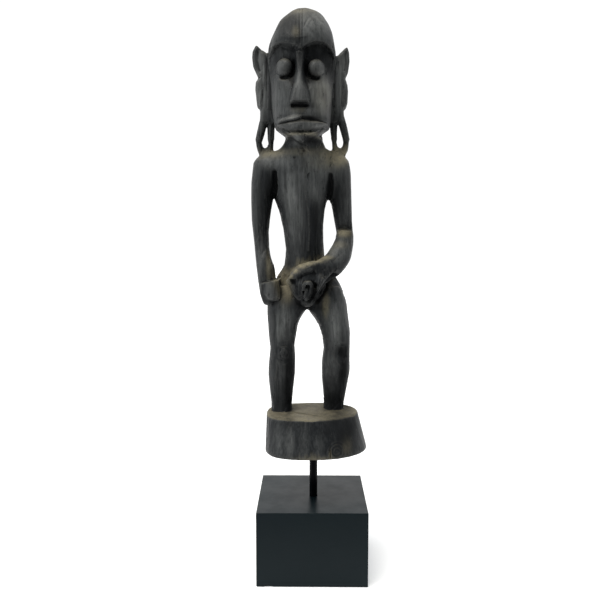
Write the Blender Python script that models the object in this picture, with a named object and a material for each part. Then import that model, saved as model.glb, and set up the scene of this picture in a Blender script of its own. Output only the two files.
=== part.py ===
"""A carved wooden figure on its own drum base, held over a block plinth by one thin rod.

Metres, +Z up, the front towards -Y. The origin is the middle of the plinth's underside.
The plinth, the rod, its bores and the drum base have sizes of their own. The figure above
the drum is drawn 416 parts tall and keeps its pose and carving as shares of its height.
"""

import math

import bmesh
import bpy
import numpy as np
from mathutils import Matrix, Vector

# Plinth: a block with softened edges
PLINTH_WIDTH = 0.114
PLINTH_DEPTH = 0.114
PLINTH_HEIGHT = 0.0778
PLINTH_EDGE = 0.0009

# Rod, and the blind bores that take its two ends
ROD_DIAMETER = 0.0085
ROD_SHOWN = 0.0535
ROD_IN_PLINTH = 0.030
ROD_IN_DRUM = 0.020
ROD_END_CHAMFER = 0.0006
BORE_CLEARANCE = 0.0003
ROD_X = 0.0015
ROD_Y = -0.0065

# Drum base, carved in one with the figure, wider at its foot than at its top
DRUM_HEIGHT = 0.0383
DRUM_TOP_WIDTH = 0.0970
DRUM_TOP_DEPTH = 0.0770
DRUM_FOOT_WIDTH = 0.1082
DRUM_FOOT_DEPTH = 0.0950
DRUM_TOP_SHIFT = (-0.0014, 0.0035)
DRUM_FOOT_SHIFT = (0.0030, 0.0)
DRUM_EDGE = 0.0014
DRUM_SKEW = 0.06
DRUM_SQUARE_LEFT = 2.9
DRUM_SQUARE_RIGHT = 2.2
DRUM_AROUND = 56

# Figure above the drum, drawn in parts of 416 to its height
FIGURE_HEIGHT = 0.416
DRAWN_HEIGHT = 416.0
PART = FIGURE_HEIGHT / DRAWN_HEIGHT
LEG_SINK = 2.5
EASING_LOSS = 0.45
GRID = 1.5
FACETS = 7800
FINGERS = 2
FINGER_X = -13.2
FINGER_STEP = 4.6
SHARP_ANGLE = math.radians(35)

ROD_TOP = PLINTH_HEIGHT + ROD_SHOWN + ROD_IN_DRUM
DRUM_UNDERSIDE = PLINTH_HEIGHT + ROD_SHOWN
DRUM_TOP = DRUM_UNDERSIDE + DRUM_HEIGHT
FIGURE_PLACE = Matrix.Translation((ROD_X, ROD_Y, DRUM_TOP)) @ Matrix.Scale(PART, 4)


def clear_scene():
    for thing in list(bpy.data.objects):
        bpy.data.objects.remove(thing, do_unlink=True)


def material(name, colour, roughness, metallic=0.0):
    made = bpy.data.materials.new(name)
    made.use_nodes = True
    shader = made.node_tree.nodes["Principled BSDF"]
    shader.inputs["Base Color"].default_value = (*colour, 1.0)
    shader.inputs["Roughness"].default_value = roughness
    shader.inputs["Metallic"].default_value = metallic
    made.diffuse_color = (*colour, 1.0)
    return made


def new_object(name, bm, finish=None):
    mesh = bpy.data.meshes.new(name)
    bmesh.ops.recalc_face_normals(bm, faces=bm.faces)
    bm.to_mesh(mesh)
    bm.free()
    thing = bpy.data.objects.new(name, mesh)
    bpy.context.scene.collection.objects.link(thing)
    if finish:
        mesh.materials.append(finish)
    return thing


def cutter(thing):
    thing.hide_render = True
    thing.display_type = "WIRE"
    return thing


def settle(thing):
    """Puts the result of an object's modifiers into its mesh."""
    graph = bpy.context.evaluated_depsgraph_get()
    settled = bpy.data.meshes.new_from_object(thing.evaluated_get(graph))
    thing.modifiers.clear()
    thing.data = settled


def smooth(thing):
    thing.data.shade_smooth()
    thing.data.set_sharp_from_angle(angle=SHARP_ANGLE)


def cut(thing, tool, operation="DIFFERENCE"):
    step = thing.modifiers.new(f"{operation.lower()} {tool.name}", "BOOLEAN")
    step.operation = operation
    step.object = tool


def curve_through(stops, places, at):
    """A smooth curve through rows of numbers, which never swings past a row's own values."""
    stops = np.array(stops, float)
    places = np.array(places, float)
    gap = np.diff(places)[:, None]
    slope = np.diff(stops, axis=0) / gap
    tangent = np.zeros_like(stops)
    tangent[0], tangent[-1] = slope[0], slope[-1]
    before, after = slope[:-1], slope[1:]
    same_way = before * after > 0
    total = np.where(same_way, before + after, 1.0)
    tangent[1:-1] = np.where(same_way, 2 * before * after / total, 0.0)
    index = np.clip(np.searchsorted(places, at) - 1, 0, len(places) - 2)
    width = gap[index]
    u = (at[:, None] - places[index][:, None]) / width
    start, end = stops[index], stops[index + 1]
    lead = width * tangent[index]
    trail = width * tangent[index + 1]
    return (
        start * (2 * u**3 - 3 * u**2 + 1)
        + lead * (u**3 - 2 * u**2 + u)
        + end * (3 * u**2 - 2 * u**3)
        + trail * (u**3 - u**2)
    )


def rounded(cosine, squareness):
    """One ordinate of a rounded square: 2 gives a circle, less a diamond, more a square."""
    return np.sign(cosine) * np.abs(cosine) ** (2.0 / squareness)


def bridge_rings(rings):
    """A closed solid through rings of points, with a fan of faces over each end."""
    bm = bmesh.new()
    loops = [[bm.verts.new(point) for point in ring] for ring in rings]
    count = len(loops[0])
    for lower, upper in zip(loops, loops[1:]):
        for i in range(count):
            j = (i + 1) % count
            bm.faces.new((lower[i], lower[j], upper[j], upper[i]))
    bm.faces.new(loops[0][::-1])
    bm.faces.new(loops[-1])
    return bm


def stack(name, rows, front_square=2.2, back_square=2.2, around=48, step=GRID, shape=None):
    """A form built of level slices: each row is height, left, right, front, back."""
    rows = np.array(rows, float)
    count = max(2, int((rows[-1, 0] - rows[0, 0]) / step))
    heights = np.linspace(rows[0, 0], rows[-1, 0], count + 1)
    slices = curve_through(rows[:, 1:], rows[:, 0], heights)
    angle = np.linspace(0, 2 * math.pi, around, endpoint=False)
    cos, sin = np.cos(angle), np.sin(angle)
    square = np.where(sin < 0, front_square, back_square)
    rings = []
    for height, (left, right, front, back) in zip(heights, slices):
        x = (left + right) / 2 + (right - left) / 2 * rounded(cos, square)
        middle = (front + back) / 2
        y = middle + (back - front) / 2 * rounded(sin, square)
        z = np.full(around, height)
        if shape:
            y = shape(x, y, z, middle)
        rings.append(np.stack([x, y, z], axis=1))
    return new_object(name, bridge_rings(rings))


def sweep(name, stops, around=28, step=GRID, square=2.2):
    """A limb along a curved line: each stop is x, y, z, half its width, half its depth."""
    stops = np.array(stops, float)
    run = np.linalg.norm(np.diff(stops[:, :3], axis=0), axis=1)
    places = np.concatenate([[0.0], np.cumsum(run)])
    count = max(2, int(places[-1] / step))
    line = curve_through(stops, places, np.linspace(0, places[-1], count + 1))
    angle = np.linspace(0, 2 * math.pi, around, endpoint=False)
    heading = np.gradient(line[:, :3], axis=0)
    rings = []
    for point, along in zip(line, heading):
        along = Vector(along).normalized()
        deep = Vector((0, 1, 0)) - along * along.y
        if deep.length < 0.2:
            deep = Vector((0, 0, 1)) - along * along.z
        deep.normalize()
        side = deep.cross(along).normalized()
        wide = np.outer(rounded(np.cos(angle), square), np.array(side)) * point[3]
        tall = np.outer(rounded(np.sin(angle), square), np.array(deep)) * point[4]
        rings.append(point[:3] + wide + tall)
    return new_object(name, bridge_rings(rings))


def slab(name, outline, front, back, edge=2.0):
    """A flat form cut to an outline seen from the front, with its front and back edges eased."""
    bm = bmesh.new()
    face = bm.faces.new([bm.verts.new((x, front, z)) for x, z in outline])
    grown = bmesh.ops.extrude_face_region(bm, geom=[face])["geom"]
    moved = [item for item in grown if isinstance(item, bmesh.types.BMVert)]
    bmesh.ops.translate(bm, verts=moved, vec=(0, back - front, 0))
    rims = [e for e in bm.edges if abs(e.verts[0].co.y - e.verts[1].co.y) < 1e-6]
    bmesh.ops.bevel(bm, geom=rims, offset=edge, segments=2, affect="EDGES")
    return new_object(name, bm)


def ball(name, centre, radii, tilt=0.0):
    """An egg-shaped lump, leaning by tilt degrees in the front view."""
    bm = bmesh.new()
    bmesh.ops.create_uvsphere(bm, u_segments=24, v_segments=16, radius=1.0)
    lean = Matrix.Rotation(math.radians(tilt), 4, "Y")
    grow = Matrix.Diagonal((*radii, 1.0))
    bmesh.ops.transform(bm, matrix=Matrix.Translation(centre) @ lean @ grow, verts=bm.verts)
    return new_object(name, bm)


# Face. Heights are above the drum, x is from the rod's axis, depth is towards the viewer.
FACE_MIDDLE = -12.6
BROW_PEAK = 376.0
BROW_LEFT = -30.5
BROW_RIGHT = 4.5
EYE_LEFT = (-30.2, 352.7)
EYE_RIGHT = (2.6, 351.6)
EYE_RADIUS = 8.9
NOSE_X = -14.2
NOSE_TOP = 368.0
NOSE_TIP = 315.5
MOUTH_LINE = 299.0
MOUTH_HALF = 26.0


def ease(value, low, high):
    """0 below low, 1 above high, with a soft run between."""
    t = np.clip((value - low) / (high - low), 0.0, 1.0)
    return t * t * (3 - 2 * t)


def brow_line(x):
    """The two arches of the brow, one to each side of the face's middle."""
    peak = np.where(x < FACE_MIDDLE, BROW_LEFT, BROW_RIGHT)
    return BROW_PEAK - 7.5 * (np.abs(x - peak) / 17.0) ** 2.2


def nose_half(z):
    """Half the nose's width: a thin bridge that flares to the nostrils."""
    return 2.0 + 6.2 * np.clip((355.0 - z) / (355.0 - NOSE_TIP), 0.0, 1.0) ** 1.3


def face_relief(x, z):
    """How far the carving stands out of the head's plain form, or in where it is negative."""
    below = brow_line(x) - z
    floor = ease(below, -0.4, 2.2) * (1.0 - ease(below, 17.0, 46.0))
    near_nose = 1.0 - ease(np.abs(x - NOSE_X), 8.0, 20.0)
    socket = -(8.0 + 2.5 * near_nose * ease(below, 8.0, 20.0)) * floor
    depth = socket
    for centre_x, centre_z in (EYE_LEFT, EYE_RIGHT):
        off = np.hypot(x - centre_x, z - centre_z)
        dome = np.sqrt(np.maximum(EYE_RADIUS**2 - off**2, 0.0))
        depth = np.where(off < EYE_RADIUS, np.maximum(depth, -8.6 + dome), depth)
    half = nose_half(z)
    rise = 1.5 + 7.5 * np.clip((NOSE_TOP - z) / (NOSE_TOP - NOSE_TIP), 0.0, 1.0) ** 1.4
    side = 1.0 - ease(np.abs(x - NOSE_X), half * 0.72, half + 1.2)
    length = ease(z, NOSE_TIP - 1.2, NOSE_TIP + 1.0) * (1.0 - ease(z, NOSE_TOP - 2, NOSE_TOP + 4))
    nose = side * length
    depth = depth * (1.0 - nose) + rise * nose
    across = np.clip(np.abs(x - FACE_MIDDLE + 1.0) / MOUTH_HALF, 0.0, 1.0)
    bow = np.sqrt(1.0 - across**2)
    line = MOUTH_LINE - 5.5 * across**2
    lip_top = line + 4.2 * bow
    lip_foot = line - 9.8 * bow
    inside = ease(z, lip_foot - 0.8, lip_foot + 0.8) * (1.0 - ease(z, lip_top - 0.6, lip_top + 1.2))
    part_line = 1.0 - ease(np.abs(z - line), 0.3, 1.6)
    lips = inside * (across < 1.0) * (3.4 - 2.0 * part_line)
    return depth + lips


def carve_face(x, y, z, middle):
    """Works the face into the front of the head and fades out around its sides."""
    front = ease(middle - y, 8.0, 17.0)
    return y - face_relief(x, z) * front


def head():
    rows = [
        (283.5, -24.0, -0.8, -30.0, 12.0),
        (286.5, -27.4, 2.6, -36.0, 17.0),
        (290.5, -32.8, 8.2, -38.0, 21.0),
        (296.3, -39.2, 15.4, -38.5, 25.0),
        (308.1, -41.4, 16.9, -38.0, 31.0),
        (322.9, -42.8, 17.9, -35.5, 36.0),
        (337.6, -43.8, 19.0, -34.0, 39.0),
        (352.3, -45.2, 20.2, -33.5, 40.0),
        (364.0, -46.6, 21.6, -33.5, 40.0),
        (371.0, -46.5, 21.5, -33.3, 39.5),
        (378.0, -45.4, 20.4, -32.5, 38.0),
        (384.0, -43.2, 19.4, -31.0, 36.0),
        (389.8, -40.8, 18.0, -28.8, 33.0),
        (395.7, -38.0, 15.6, -26.0, 29.0),
        (401.6, -34.4, 12.2, -22.0, 24.0),
        (407.5, -28.4, 8.0, -16.5, 17.5),
        (412.4, -22.2, 1.4, -9.5, 9.5),
        (415.2, -17.4, -5.0, -4.5, 4.5),
    ]
    return stack("head", rows, 2.7, 2.2, around=120, step=1.0, shape=carve_face)


def ear(name, outline, strand_out, strand_in):
    """A pointed ear, an ornament below it, and the long looped lobe that rests on the shoulder."""
    return [
        slab(f"{name}_blade", outline, 2.0, 13.0, edge=2.0),
        sweep(f"{name}_outer_strand", strand_out, around=16),
        sweep(f"{name}_inner_strand", strand_in, around=16),
    ]


def ears():
    left = [
        (-59.3, 382.0),
        (-62.6, 375.5),
        (-63.3, 367.5),
        (-62.2, 359.5),
        (-59.4, 353.4),
        (-56.9, 347.9),
        (-59.7, 344.3),
        (-60.4, 337.3),
        (-59.4, 329.2),
        (-58.5, 320.0),
        (-55.2, 316.0),
        (-55.2, 304.0),
        (-38.0, 300.0),
        (-38.0, 374.0),
        (-47.5, 372.5),
        (-54.6, 376.8),
    ]
    right = [
        (33.6, 379.4),
        (35.5, 373.2),
        (36.0, 363.2),
        (34.7, 354.2),
        (31.4, 347.6),
        (33.7, 343.1),
        (34.6, 335.0),
        (34.1, 323.9),
        (33.1, 318.8),
        (30.0, 315.8),
        (30.6, 304.0),
        (12.0, 300.0),
        (12.0, 372.0),
        (23.6, 369.6),
        (29.7, 375.4),
    ]
    left_out = [
        (-51.5, 8, 312.0, 3.8, 4.5),
        (-53.0, 8, 303.0, 3.6, 4.5),
        (-55.4, 8.5, 293.0, 3.6, 4.5),
        (-57.4, 9, 284.0, 3.3, 4.5),
        (-57.2, 10, 277.5, 3.4, 4.5),
        (-53.0, 11, 273.2, 4.0, 4.5),
    ]
    left_in = [
        (-44.2, 8, 312.0, 3.8, 4.5),
        (-44.5, 8, 300.0, 3.5, 4.5),
        (-44.7, 9, 288.0, 3.1, 4.5),
        (-45.0, 10, 279.0, 3.1, 4.5),
        (-48.5, 11, 274.0, 4.0, 4.5),
    ]
    right_out = [
        (26.2, 8, 312.0, 3.8, 4.5),
        (29.0, 8, 304.0, 3.6, 4.5),
        (31.6, 8.5, 295.0, 3.4, 4.5),
        (33.7, 9, 285.0, 3.3, 4.5),
        (33.4, 10, 277.5, 3.5, 4.5),
        (29.5, 11, 272.6, 4.0, 4.5),
    ]
    right_in = [
        (20.4, 8, 312.0, 3.8, 4.5),
        (20.4, 8, 300.0, 3.3, 4.5),
        (20.9, 9, 288.0, 2.7, 4.5),
        (21.3, 10, 280.0, 2.9, 4.5),
        (25.0, 11, 274.0, 4.2, 4.5),
    ]
    return ear("left_ear", left, left_out, left_in) + ear("right_ear", right, right_out, right_in)


def torso():
    rows = [
        (111.5, -17.0, 3.0, 4.0, 19.0),
        (114.5, -28.0, 14.0, -3.0, 25.0),
        (119.0, -42.0, 28.0, -7.5, 29.5),
        (125.0, -45.8, 31.8, -8.5, 31.0),
        (132.8, -43.0, 29.1, -8.5, 30.0),
        (139.1, -40.6, 25.6, -8.5, 28.5),
        (144.4, -38.2, 22.0, -8.5, 27.0),
        (151.2, -33.3, 16.0, -8.5, 25.0),
        (157.5, -30.3, 12.2, -9.0, 24.0),
        (170.1, -29.1, 10.6, -10.0, 23.0),
        (182.7, -30.2, 9.8, -11.0, 23.0),
        (195.1, -31.9, 9.6, -12.0, 24.0),
        (207.6, -34.5, 10.5, -13.0, 25.0),
        (220.0, -38.4, 12.3, -13.5, 26.0),
        (228.0, -42.0, 16.0, -13.8, 26.5),
        (240.0, -46.0, 20.0, -13.4, 27.0),
        (252.0, -53.0, 27.0, -12.4, 27.5),
        (262.0, -57.0, 30.0, -10.5, 27.5),
        (267.5, -54.0, 27.5, -9.5, 26.5),
        (271.5, -48.0, 22.5, -9.3, 25.5),
        (275.0, -38.6, 16.5, -9.2, 24.5),
        (278.0, -34.2, 12.0, -9.5, 23.5),
        (283.5, -30.2, 9.6, -10.5, 22.5),
        (290.0, -28.8, 7.8, -11.0, 22.0),
        (300.0, -28.5, 7.0, -11.0, 22.0),
    ]
    return stack("torso", rows, 1.75, 2.3, around=56)


def legs():
    left = [
        (-LEG_SINK, -44.9, -23.4, -3.0, 20.0),
        (5.0, -44.9, -23.4, -3.0, 20.0),
        (17.9, -45.8, -22.7, -4.0, 20.0),
        (30.8, -47.1, -21.2, -6.0, 20.5),
        (43.7, -47.8, -20.0, -8.0, 20.0),
        (56.5, -46.9, -19.7, -10.0, 17.5),
        (69.3, -45.7, -20.6, -11.5, 17.0),
        (82.1, -47.0, -18.9, -11.0, 19.0),
        (94.8, -47.9, -16.5, -10.5, 22.5),
        (107.5, -49.0, -9.6, -9.8, 26.5),
        (112.0, -49.0, -6.0, -9.5, 28.0),
        (122.0, -47.0, -6.0, -8.8, 30.0),
        (134.0, -42.0, -10.0, -5.0, 27.0),
    ]
    right = [
        (-LEG_SINK, 11.6, 32.0, 6.0, 28.0),
        (5.2, 11.6, 32.6, 6.0, 28.0),
        (18.1, 10.9, 34.6, 4.0, 27.0),
        (31.0, 9.6, 36.8, 1.0, 26.0),
        (43.9, 9.2, 38.4, -2.5, 24.5),
        (56.7, 9.6, 38.4, -5.5, 22.0),
        (69.5, 11.0, 38.3, -7.5, 21.0),
        (82.2, 9.0, 38.5, -8.0, 22.0),
        (94.9, 4.4, 37.0, -8.5, 25.0),
        (107.6, -4.2, 35.6, -8.8, 28.0),
        (112.0, -7.5, 35.2, -8.8, 29.0),
        (122.0, -8.0, 32.8, -8.6, 30.5),
        (134.0, -4.0, 27.6, -5.0, 27.0),
    ]
    return [stack("left_leg", left, 2.5, 2.2, 32), stack("right_leg", right, 2.5, 2.2, 32)]


def left_arm():
    arm = [
        (115.5, -51.8, -44.0, -11.0, 4.0),
        (121.0, -53.6, -43.0, -14.0, 3.0),
        (127.4, -55.4, -42.0, -16.0, 2.0),
        (139.6, -57.4, -39.5, -17.5, 2.5),
        (151.7, -58.8, -40.6, -16.5, 5.0),
        (164.0, -60.3, -45.0, -13.5, 9.0),
        (176.4, -61.7, -47.0, -9.0, 14.0),
        (191.0, -63.4, -47.6, -6.0, 18.0),
        (207.6, -65.0, -46.0, -5.5, 20.5),
        (225.2, -65.4, -43.1, -6.0, 22.0),
        (238.6, -65.2, -39.5, -6.5, 23.0),
        (250.9, -64.0, -36.0, -6.5, 24.0),
        (258.0, -63.3, -35.0, -6.0, 24.0),
        (263.2, -62.4, -35.0, -4.5, 23.0),
        (267.2, -59.4, -36.0, -2.0, 21.0),
        (271.5, -53.0, -39.0, 3.0, 16.0),
    ]
    hand = [
        (120.5, -45.0, -36.5, -15.0, 0.0),
        (124.0, -50.0, -35.3, -19.0, 0.0),
        (130.0, -51.0, -35.3, -20.5, 2.0),
        (139.0, -51.0, -36.0, -20.0, 4.0),
        (141.5, -50.8, -37.0, -19.0, 4.0),
    ]
    return [stack("left_arm", arm, 2.4, 2.2, 32), stack("left_hand", hand, 3.0, 2.5, 28, 1.0)]


def right_arm():
    upper = [
        (180.0, 23.5, 40.6, -2.0, 18.0),
        (188.9, 24.2, 40.7, -2.5, 19.5),
        (201.4, 22.3, 39.9, -3.0, 20.5),
        (207.6, 21.1, 39.6, -3.5, 21.0),
        (220.0, 18.8, 39.2, -5.0, 22.0),
        (225.7, 15.7, 39.1, -5.5, 22.5),
        (238.5, 12.5, 38.4, -6.5, 23.5),
        (250.8, 9.0, 38.2, -6.5, 24.0),
        (257.0, 8.0, 37.6, -6.0, 24.0),
        (263.1, 8.0, 36.2, -4.5, 23.0),
        (267.4, 9.0, 33.2, -2.0, 21.0),
        (271.8, 12.0, 26.5, 3.0, 16.0),
    ]
    fore = [
        (32.4, 4.0, 191.0, 8.0, 10.0),
        (32.2, 2.0, 186.0, 8.6, 11.0),
        (30.3, -1.0, 176.0, 10.2, 11.0),
        (26.0, -6.0, 165.8, 11.6, 10.5),
        (19.0, -12.0, 157.2, 11.8, 10.0),
        (9.5, -18.0, 151.5, 11.8, 9.5),
        (1.0, -22.0, 146.5, 12.5, 9.5),
    ]
    return [stack("right_upper_arm", upper, 2.4, 2.2, 32), sweep("right_forearm", fore)]


def fist():
    """The closed right hand: a rounded mass, fingers curled over it and a knob held inside."""
    outer = [
        (6.0, -27.0, 147.0, 4.0, 4.5),
        (6.6, -29.0, 139.0, 4.2, 5.0),
        (4.8, -29.0, 130.0, 4.0, 5.0),
        (-0.5, -26.0, 122.8, 3.4, 5.0),
        (-8.0, -20.0, 119.0, 3.2, 5.0),
    ]
    top = [
        (9.0, -20.0, 155.5, 6.0, 6.0),
        (-1.0, -25.0, 155.8, 5.6, 6.0),
        (-11.0, -27.0, 151.8, 5.0, 6.0),
        (-19.0, -26.0, 146.0, 4.2, 5.5),
        (-25.0, -21.0, 139.5, 3.4, 5.0),
    ]
    lumps = [
        ball("fist_mass", (-6.5, -18.0, 139.0), (18.5, 14.0, 20.0), -14.0),
        ball("fist_knob", (-5.6, -33.0, 132.0), (4.6, 4.6, 9.8), 3.0),
        ball("thumb_tip", (-6.5, -22.0, 118.8), (6.5, 7.0, 3.8), 0.0),
        sweep("outer_finger", outer, around=16, step=1.0),
        sweep("top_finger", top, around=16, step=1.0),
    ]
    for i in range(FINGERS):
        x = FINGER_X - i * FINGER_STEP
        curled = [
            (x + 2.0, -26.0, 146.0, 2.4, 3.5),
            (x, -28.5 + i * 2.5, 138.0, 2.5, 3.5),
            (x + 0.5, -27.0 + i * 2.5, 129.0, 2.3, 3.5),
            (x + 3.0, -22.0 + i * 2.5, 122.0, 2.2, 3.0),
        ]
        lumps.append(sweep(f"curled_finger_{i + 1}", curled, around=14, step=1.0))
    return lumps


def neck_tuft():
    return [
        ball("tuft", (-12.4, -24.0, 284.0), (8.5, 10.0, 5.6), 0.0),
        ball("throat_band", (-11.0, -3.0, 285.5), (18.6, 14.0, 3.0), 0.0),
    ]


# Marks cut or left standing: x, y, z, three radii, then how far it stands out (or in).
MARKS = [
    (-30.2, -11.0, 66.0, 6.0, 8.0, 7.5, 1.6),
    (-30.2, -11.0, 75.0, 9.0, 8.0, 4.0, -1.2),
    (-30.2, -11.0, 57.0, 9.0, 8.0, 4.0, -1.0),
    (28.2, -7.0, 63.5, 6.5, 8.0, 8.5, -2.0),
    (-40.5, -8.0, 240.0, 3.5, 12.0, 16.0, -2.2),
    (17.0, -8.0, 237.0, 3.5, 12.0, 14.0, -2.2),
    (-20.9, -30.0, 142.0, 4.0, 12.0, 5.0, -3.5),
    (0.2, -31.0, 131.0, 2.6, 12.0, 9.5, -3.5),
    (-10.4, -31.0, 134.0, 1.8, 10.0, 9.0, -2.2),
    (32.0, -4.0, 194.5, 11.0, 9.0, 3.6, -2.2),
]


def press(thing, marks):
    """Moves the skin in or out along its normals, most at the middle of each mark."""
    count = len(thing.data.vertices)
    place = np.empty(count * 3)
    thing.data.vertices.foreach_get("co", place)
    place = place.reshape(-1, 3)
    facing = np.empty(count * 3)
    thing.data.vertices.foreach_get("normal", facing)
    facing = facing.reshape(-1, 3)
    moved = np.zeros(count)
    for x, y, z, wide, deep, tall, push in marks:
        off = (place - (x, y, z)) / (wide, deep, tall)
        moved += push * np.clip(1.0 - (off**2).sum(axis=1), 0.0, 1.0) ** 1.5
    place += facing * moved[:, None]
    thing.data.vertices.foreach_set("co", place.ravel())
    thing.data.update()


def ease_between(thing, name, low, high, passes):
    """Blends the forms that meet between two heights, such as an arm into its shoulder."""
    group = thing.vertex_groups.new(name=name)
    for vertex in thing.data.vertices:
        weight = min(vertex.co.z - low, high - vertex.co.z) / ((high - low) / 3)
        if weight > 0:
            group.add([vertex.index], min(weight, 1.0), "REPLACE")
    soften = thing.modifiers.new(f"ease {name}", "SMOOTH")
    soften.factor = 0.5
    soften.iterations = passes
    soften.vertex_group = name


def body():
    """Everything above the drum, merged into one skin and eased as a knife leaves it."""
    forms = [head(), torso(), *ears(), *legs(), *left_arm(), *right_arm(), *fist(), *neck_tuft()]
    bm = bmesh.new()
    for form in forms:
        bm.from_mesh(form.data)
        bpy.data.objects.remove(form, do_unlink=True)
    thing = new_object("body", bm)
    skin = thing.modifiers.new("one skin", "REMESH")
    skin.mode = "VOXEL"
    skin.voxel_size = GRID * 0.8
    soften = thing.modifiers.new("soften", "SMOOTH")
    soften.factor = 0.5
    soften.iterations = 2
    settle(thing)
    ease_between(thing, "shoulders", 244.0, 282.0, 14)
    ease_between(thing, "hips", 100.0, 138.0, 10)
    full = thing.modifiers.new("as full as drawn", "DISPLACE")
    full.mid_level = 0.0
    full.strength = EASING_LOSS
    settle(thing)
    press(thing, MARKS)
    fewer = thing.modifiers.new("fewer facets", "DECIMATE")
    fewer.ratio = FACETS / (2.0 * len(thing.data.polygons))
    settle(thing)
    thing.data.transform(FIGURE_PLACE)
    return thing


def drum():
    """The oval drum that the figure stands on, hewn a little uneven and squarer on its left."""
    angle = np.linspace(0, 2 * math.pi, DRUM_AROUND, endpoint=False)
    cos, sin = np.cos(angle), np.sin(angle)
    square = np.where(cos < 0, DRUM_SQUARE_LEFT, DRUM_SQUARE_RIGHT)
    uneven = 1.0 + 0.008 * np.sin(3 * angle + 0.7) + 0.006 * np.sin(5 * angle + 2.0)
    eased = DRUM_EDGE / DRUM_HEIGHT
    rings = []
    for share, trim in ((0.0, DRUM_EDGE), (eased, 0.0), (1.0 - eased, 0.0), (1.0, DRUM_EDGE)):
        width = DRUM_FOOT_WIDTH + (DRUM_TOP_WIDTH - DRUM_FOOT_WIDTH) * share
        depth = DRUM_FOOT_DEPTH + (DRUM_TOP_DEPTH - DRUM_FOOT_DEPTH) * share
        across = DRUM_FOOT_SHIFT[0] + (DRUM_TOP_SHIFT[0] - DRUM_FOOT_SHIFT[0]) * share
        back = DRUM_FOOT_SHIFT[1] + (DRUM_TOP_SHIFT[1] - DRUM_FOOT_SHIFT[1]) * share
        x = across + (width / 2 - trim) * rounded(cos, square)
        y = back + (depth / 2 - trim) * rounded(sin, square) * uneven + DRUM_SKEW * x
        z = np.full(DRUM_AROUND, DRUM_UNDERSIDE + DRUM_HEIGHT * share)
        rings.append(np.stack([ROD_X + x, ROD_Y + y, z], axis=1))
    return new_object("drum", bridge_rings(rings))


def rod_shape(name, radius, foot, top, chamfer, finish=None):
    """A round bar on the rod's axis between two heights."""
    bm = bmesh.new()
    place = Matrix.Translation((ROD_X, ROD_Y, (foot + top) / 2))
    bmesh.ops.create_cone(
        bm, cap_ends=True, segments=32, radius1=radius, radius2=radius, depth=top - foot, matrix=place
    )
    if chamfer:
        rims = [e for e in bm.edges if abs(e.verts[0].co.z - e.verts[1].co.z) < 1e-7]
        bmesh.ops.bevel(bm, geom=rims, offset=chamfer, segments=1, affect="EDGES")
    return new_object(name, bm, finish)


def bore(name, foot, top):
    """The space that the rod's end needs: the rod and a clearance all round."""
    return cutter(rod_shape(name, ROD_DIAMETER / 2 + BORE_CLEARANCE, foot, top, 0.0))


def figure(finish):
    thing = body()
    thing.name = "figure"
    thing.data.materials.clear()
    thing.data.materials.append(finish)
    cut(thing, cutter(drum()), "UNION")
    socket = bore("drum_bore", DRUM_UNDERSIDE - DRUM_HEIGHT, ROD_TOP + BORE_CLEARANCE)
    cut(thing, socket)
    smooth(thing)
    return thing


def plinth(finish):
    bm = bmesh.new()
    size = Matrix.Diagonal((PLINTH_WIDTH, PLINTH_DEPTH, PLINTH_HEIGHT, 1.0))
    place = Matrix.Translation((0, 0, PLINTH_HEIGHT / 2)) @ size
    bmesh.ops.create_cube(bm, size=1.0, matrix=place)
    bmesh.ops.bevel(bm, geom=bm.edges[:], offset=PLINTH_EDGE, segments=2, affect="EDGES")
    thing = new_object("plinth", bm, finish)
    foot = PLINTH_HEIGHT - ROD_IN_PLINTH - BORE_CLEARANCE
    cut(thing, bore("plinth_bore", foot, PLINTH_HEIGHT + ROD_SHOWN / 2))
    return thing


def rod(finish):
    foot = PLINTH_HEIGHT - ROD_IN_PLINTH
    thing = rod_shape("rod", ROD_DIAMETER / 2, foot, ROD_TOP, ROD_END_CHAMFER, finish)
    smooth(thing)
    return thing


def main():
    clear_scene()
    plinth(material("satin black block", (0.016, 0.021, 0.023), 0.42))
    rod(material("gloss black rod", (0.008, 0.009, 0.010), 0.22))
    figure(material("black stained wood", (0.055, 0.055, 0.053), 0.6))


main()
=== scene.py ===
# %% [markdown]
# # A carved wooden figure on a rod and a block
#
# This is a tall figure cut from one piece of dark wood, with an oval drum under its feet.
# A thin black rod holds the drum above a satin black block. The solids come from the frame,
# and this file gives them the carving, the knife marks, the finishes and a small studio.

import math

import bmesh
import bpy
import numpy as np
from mathutils import Matrix, Vector
from mathutils.kdtree import KDTree


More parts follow.
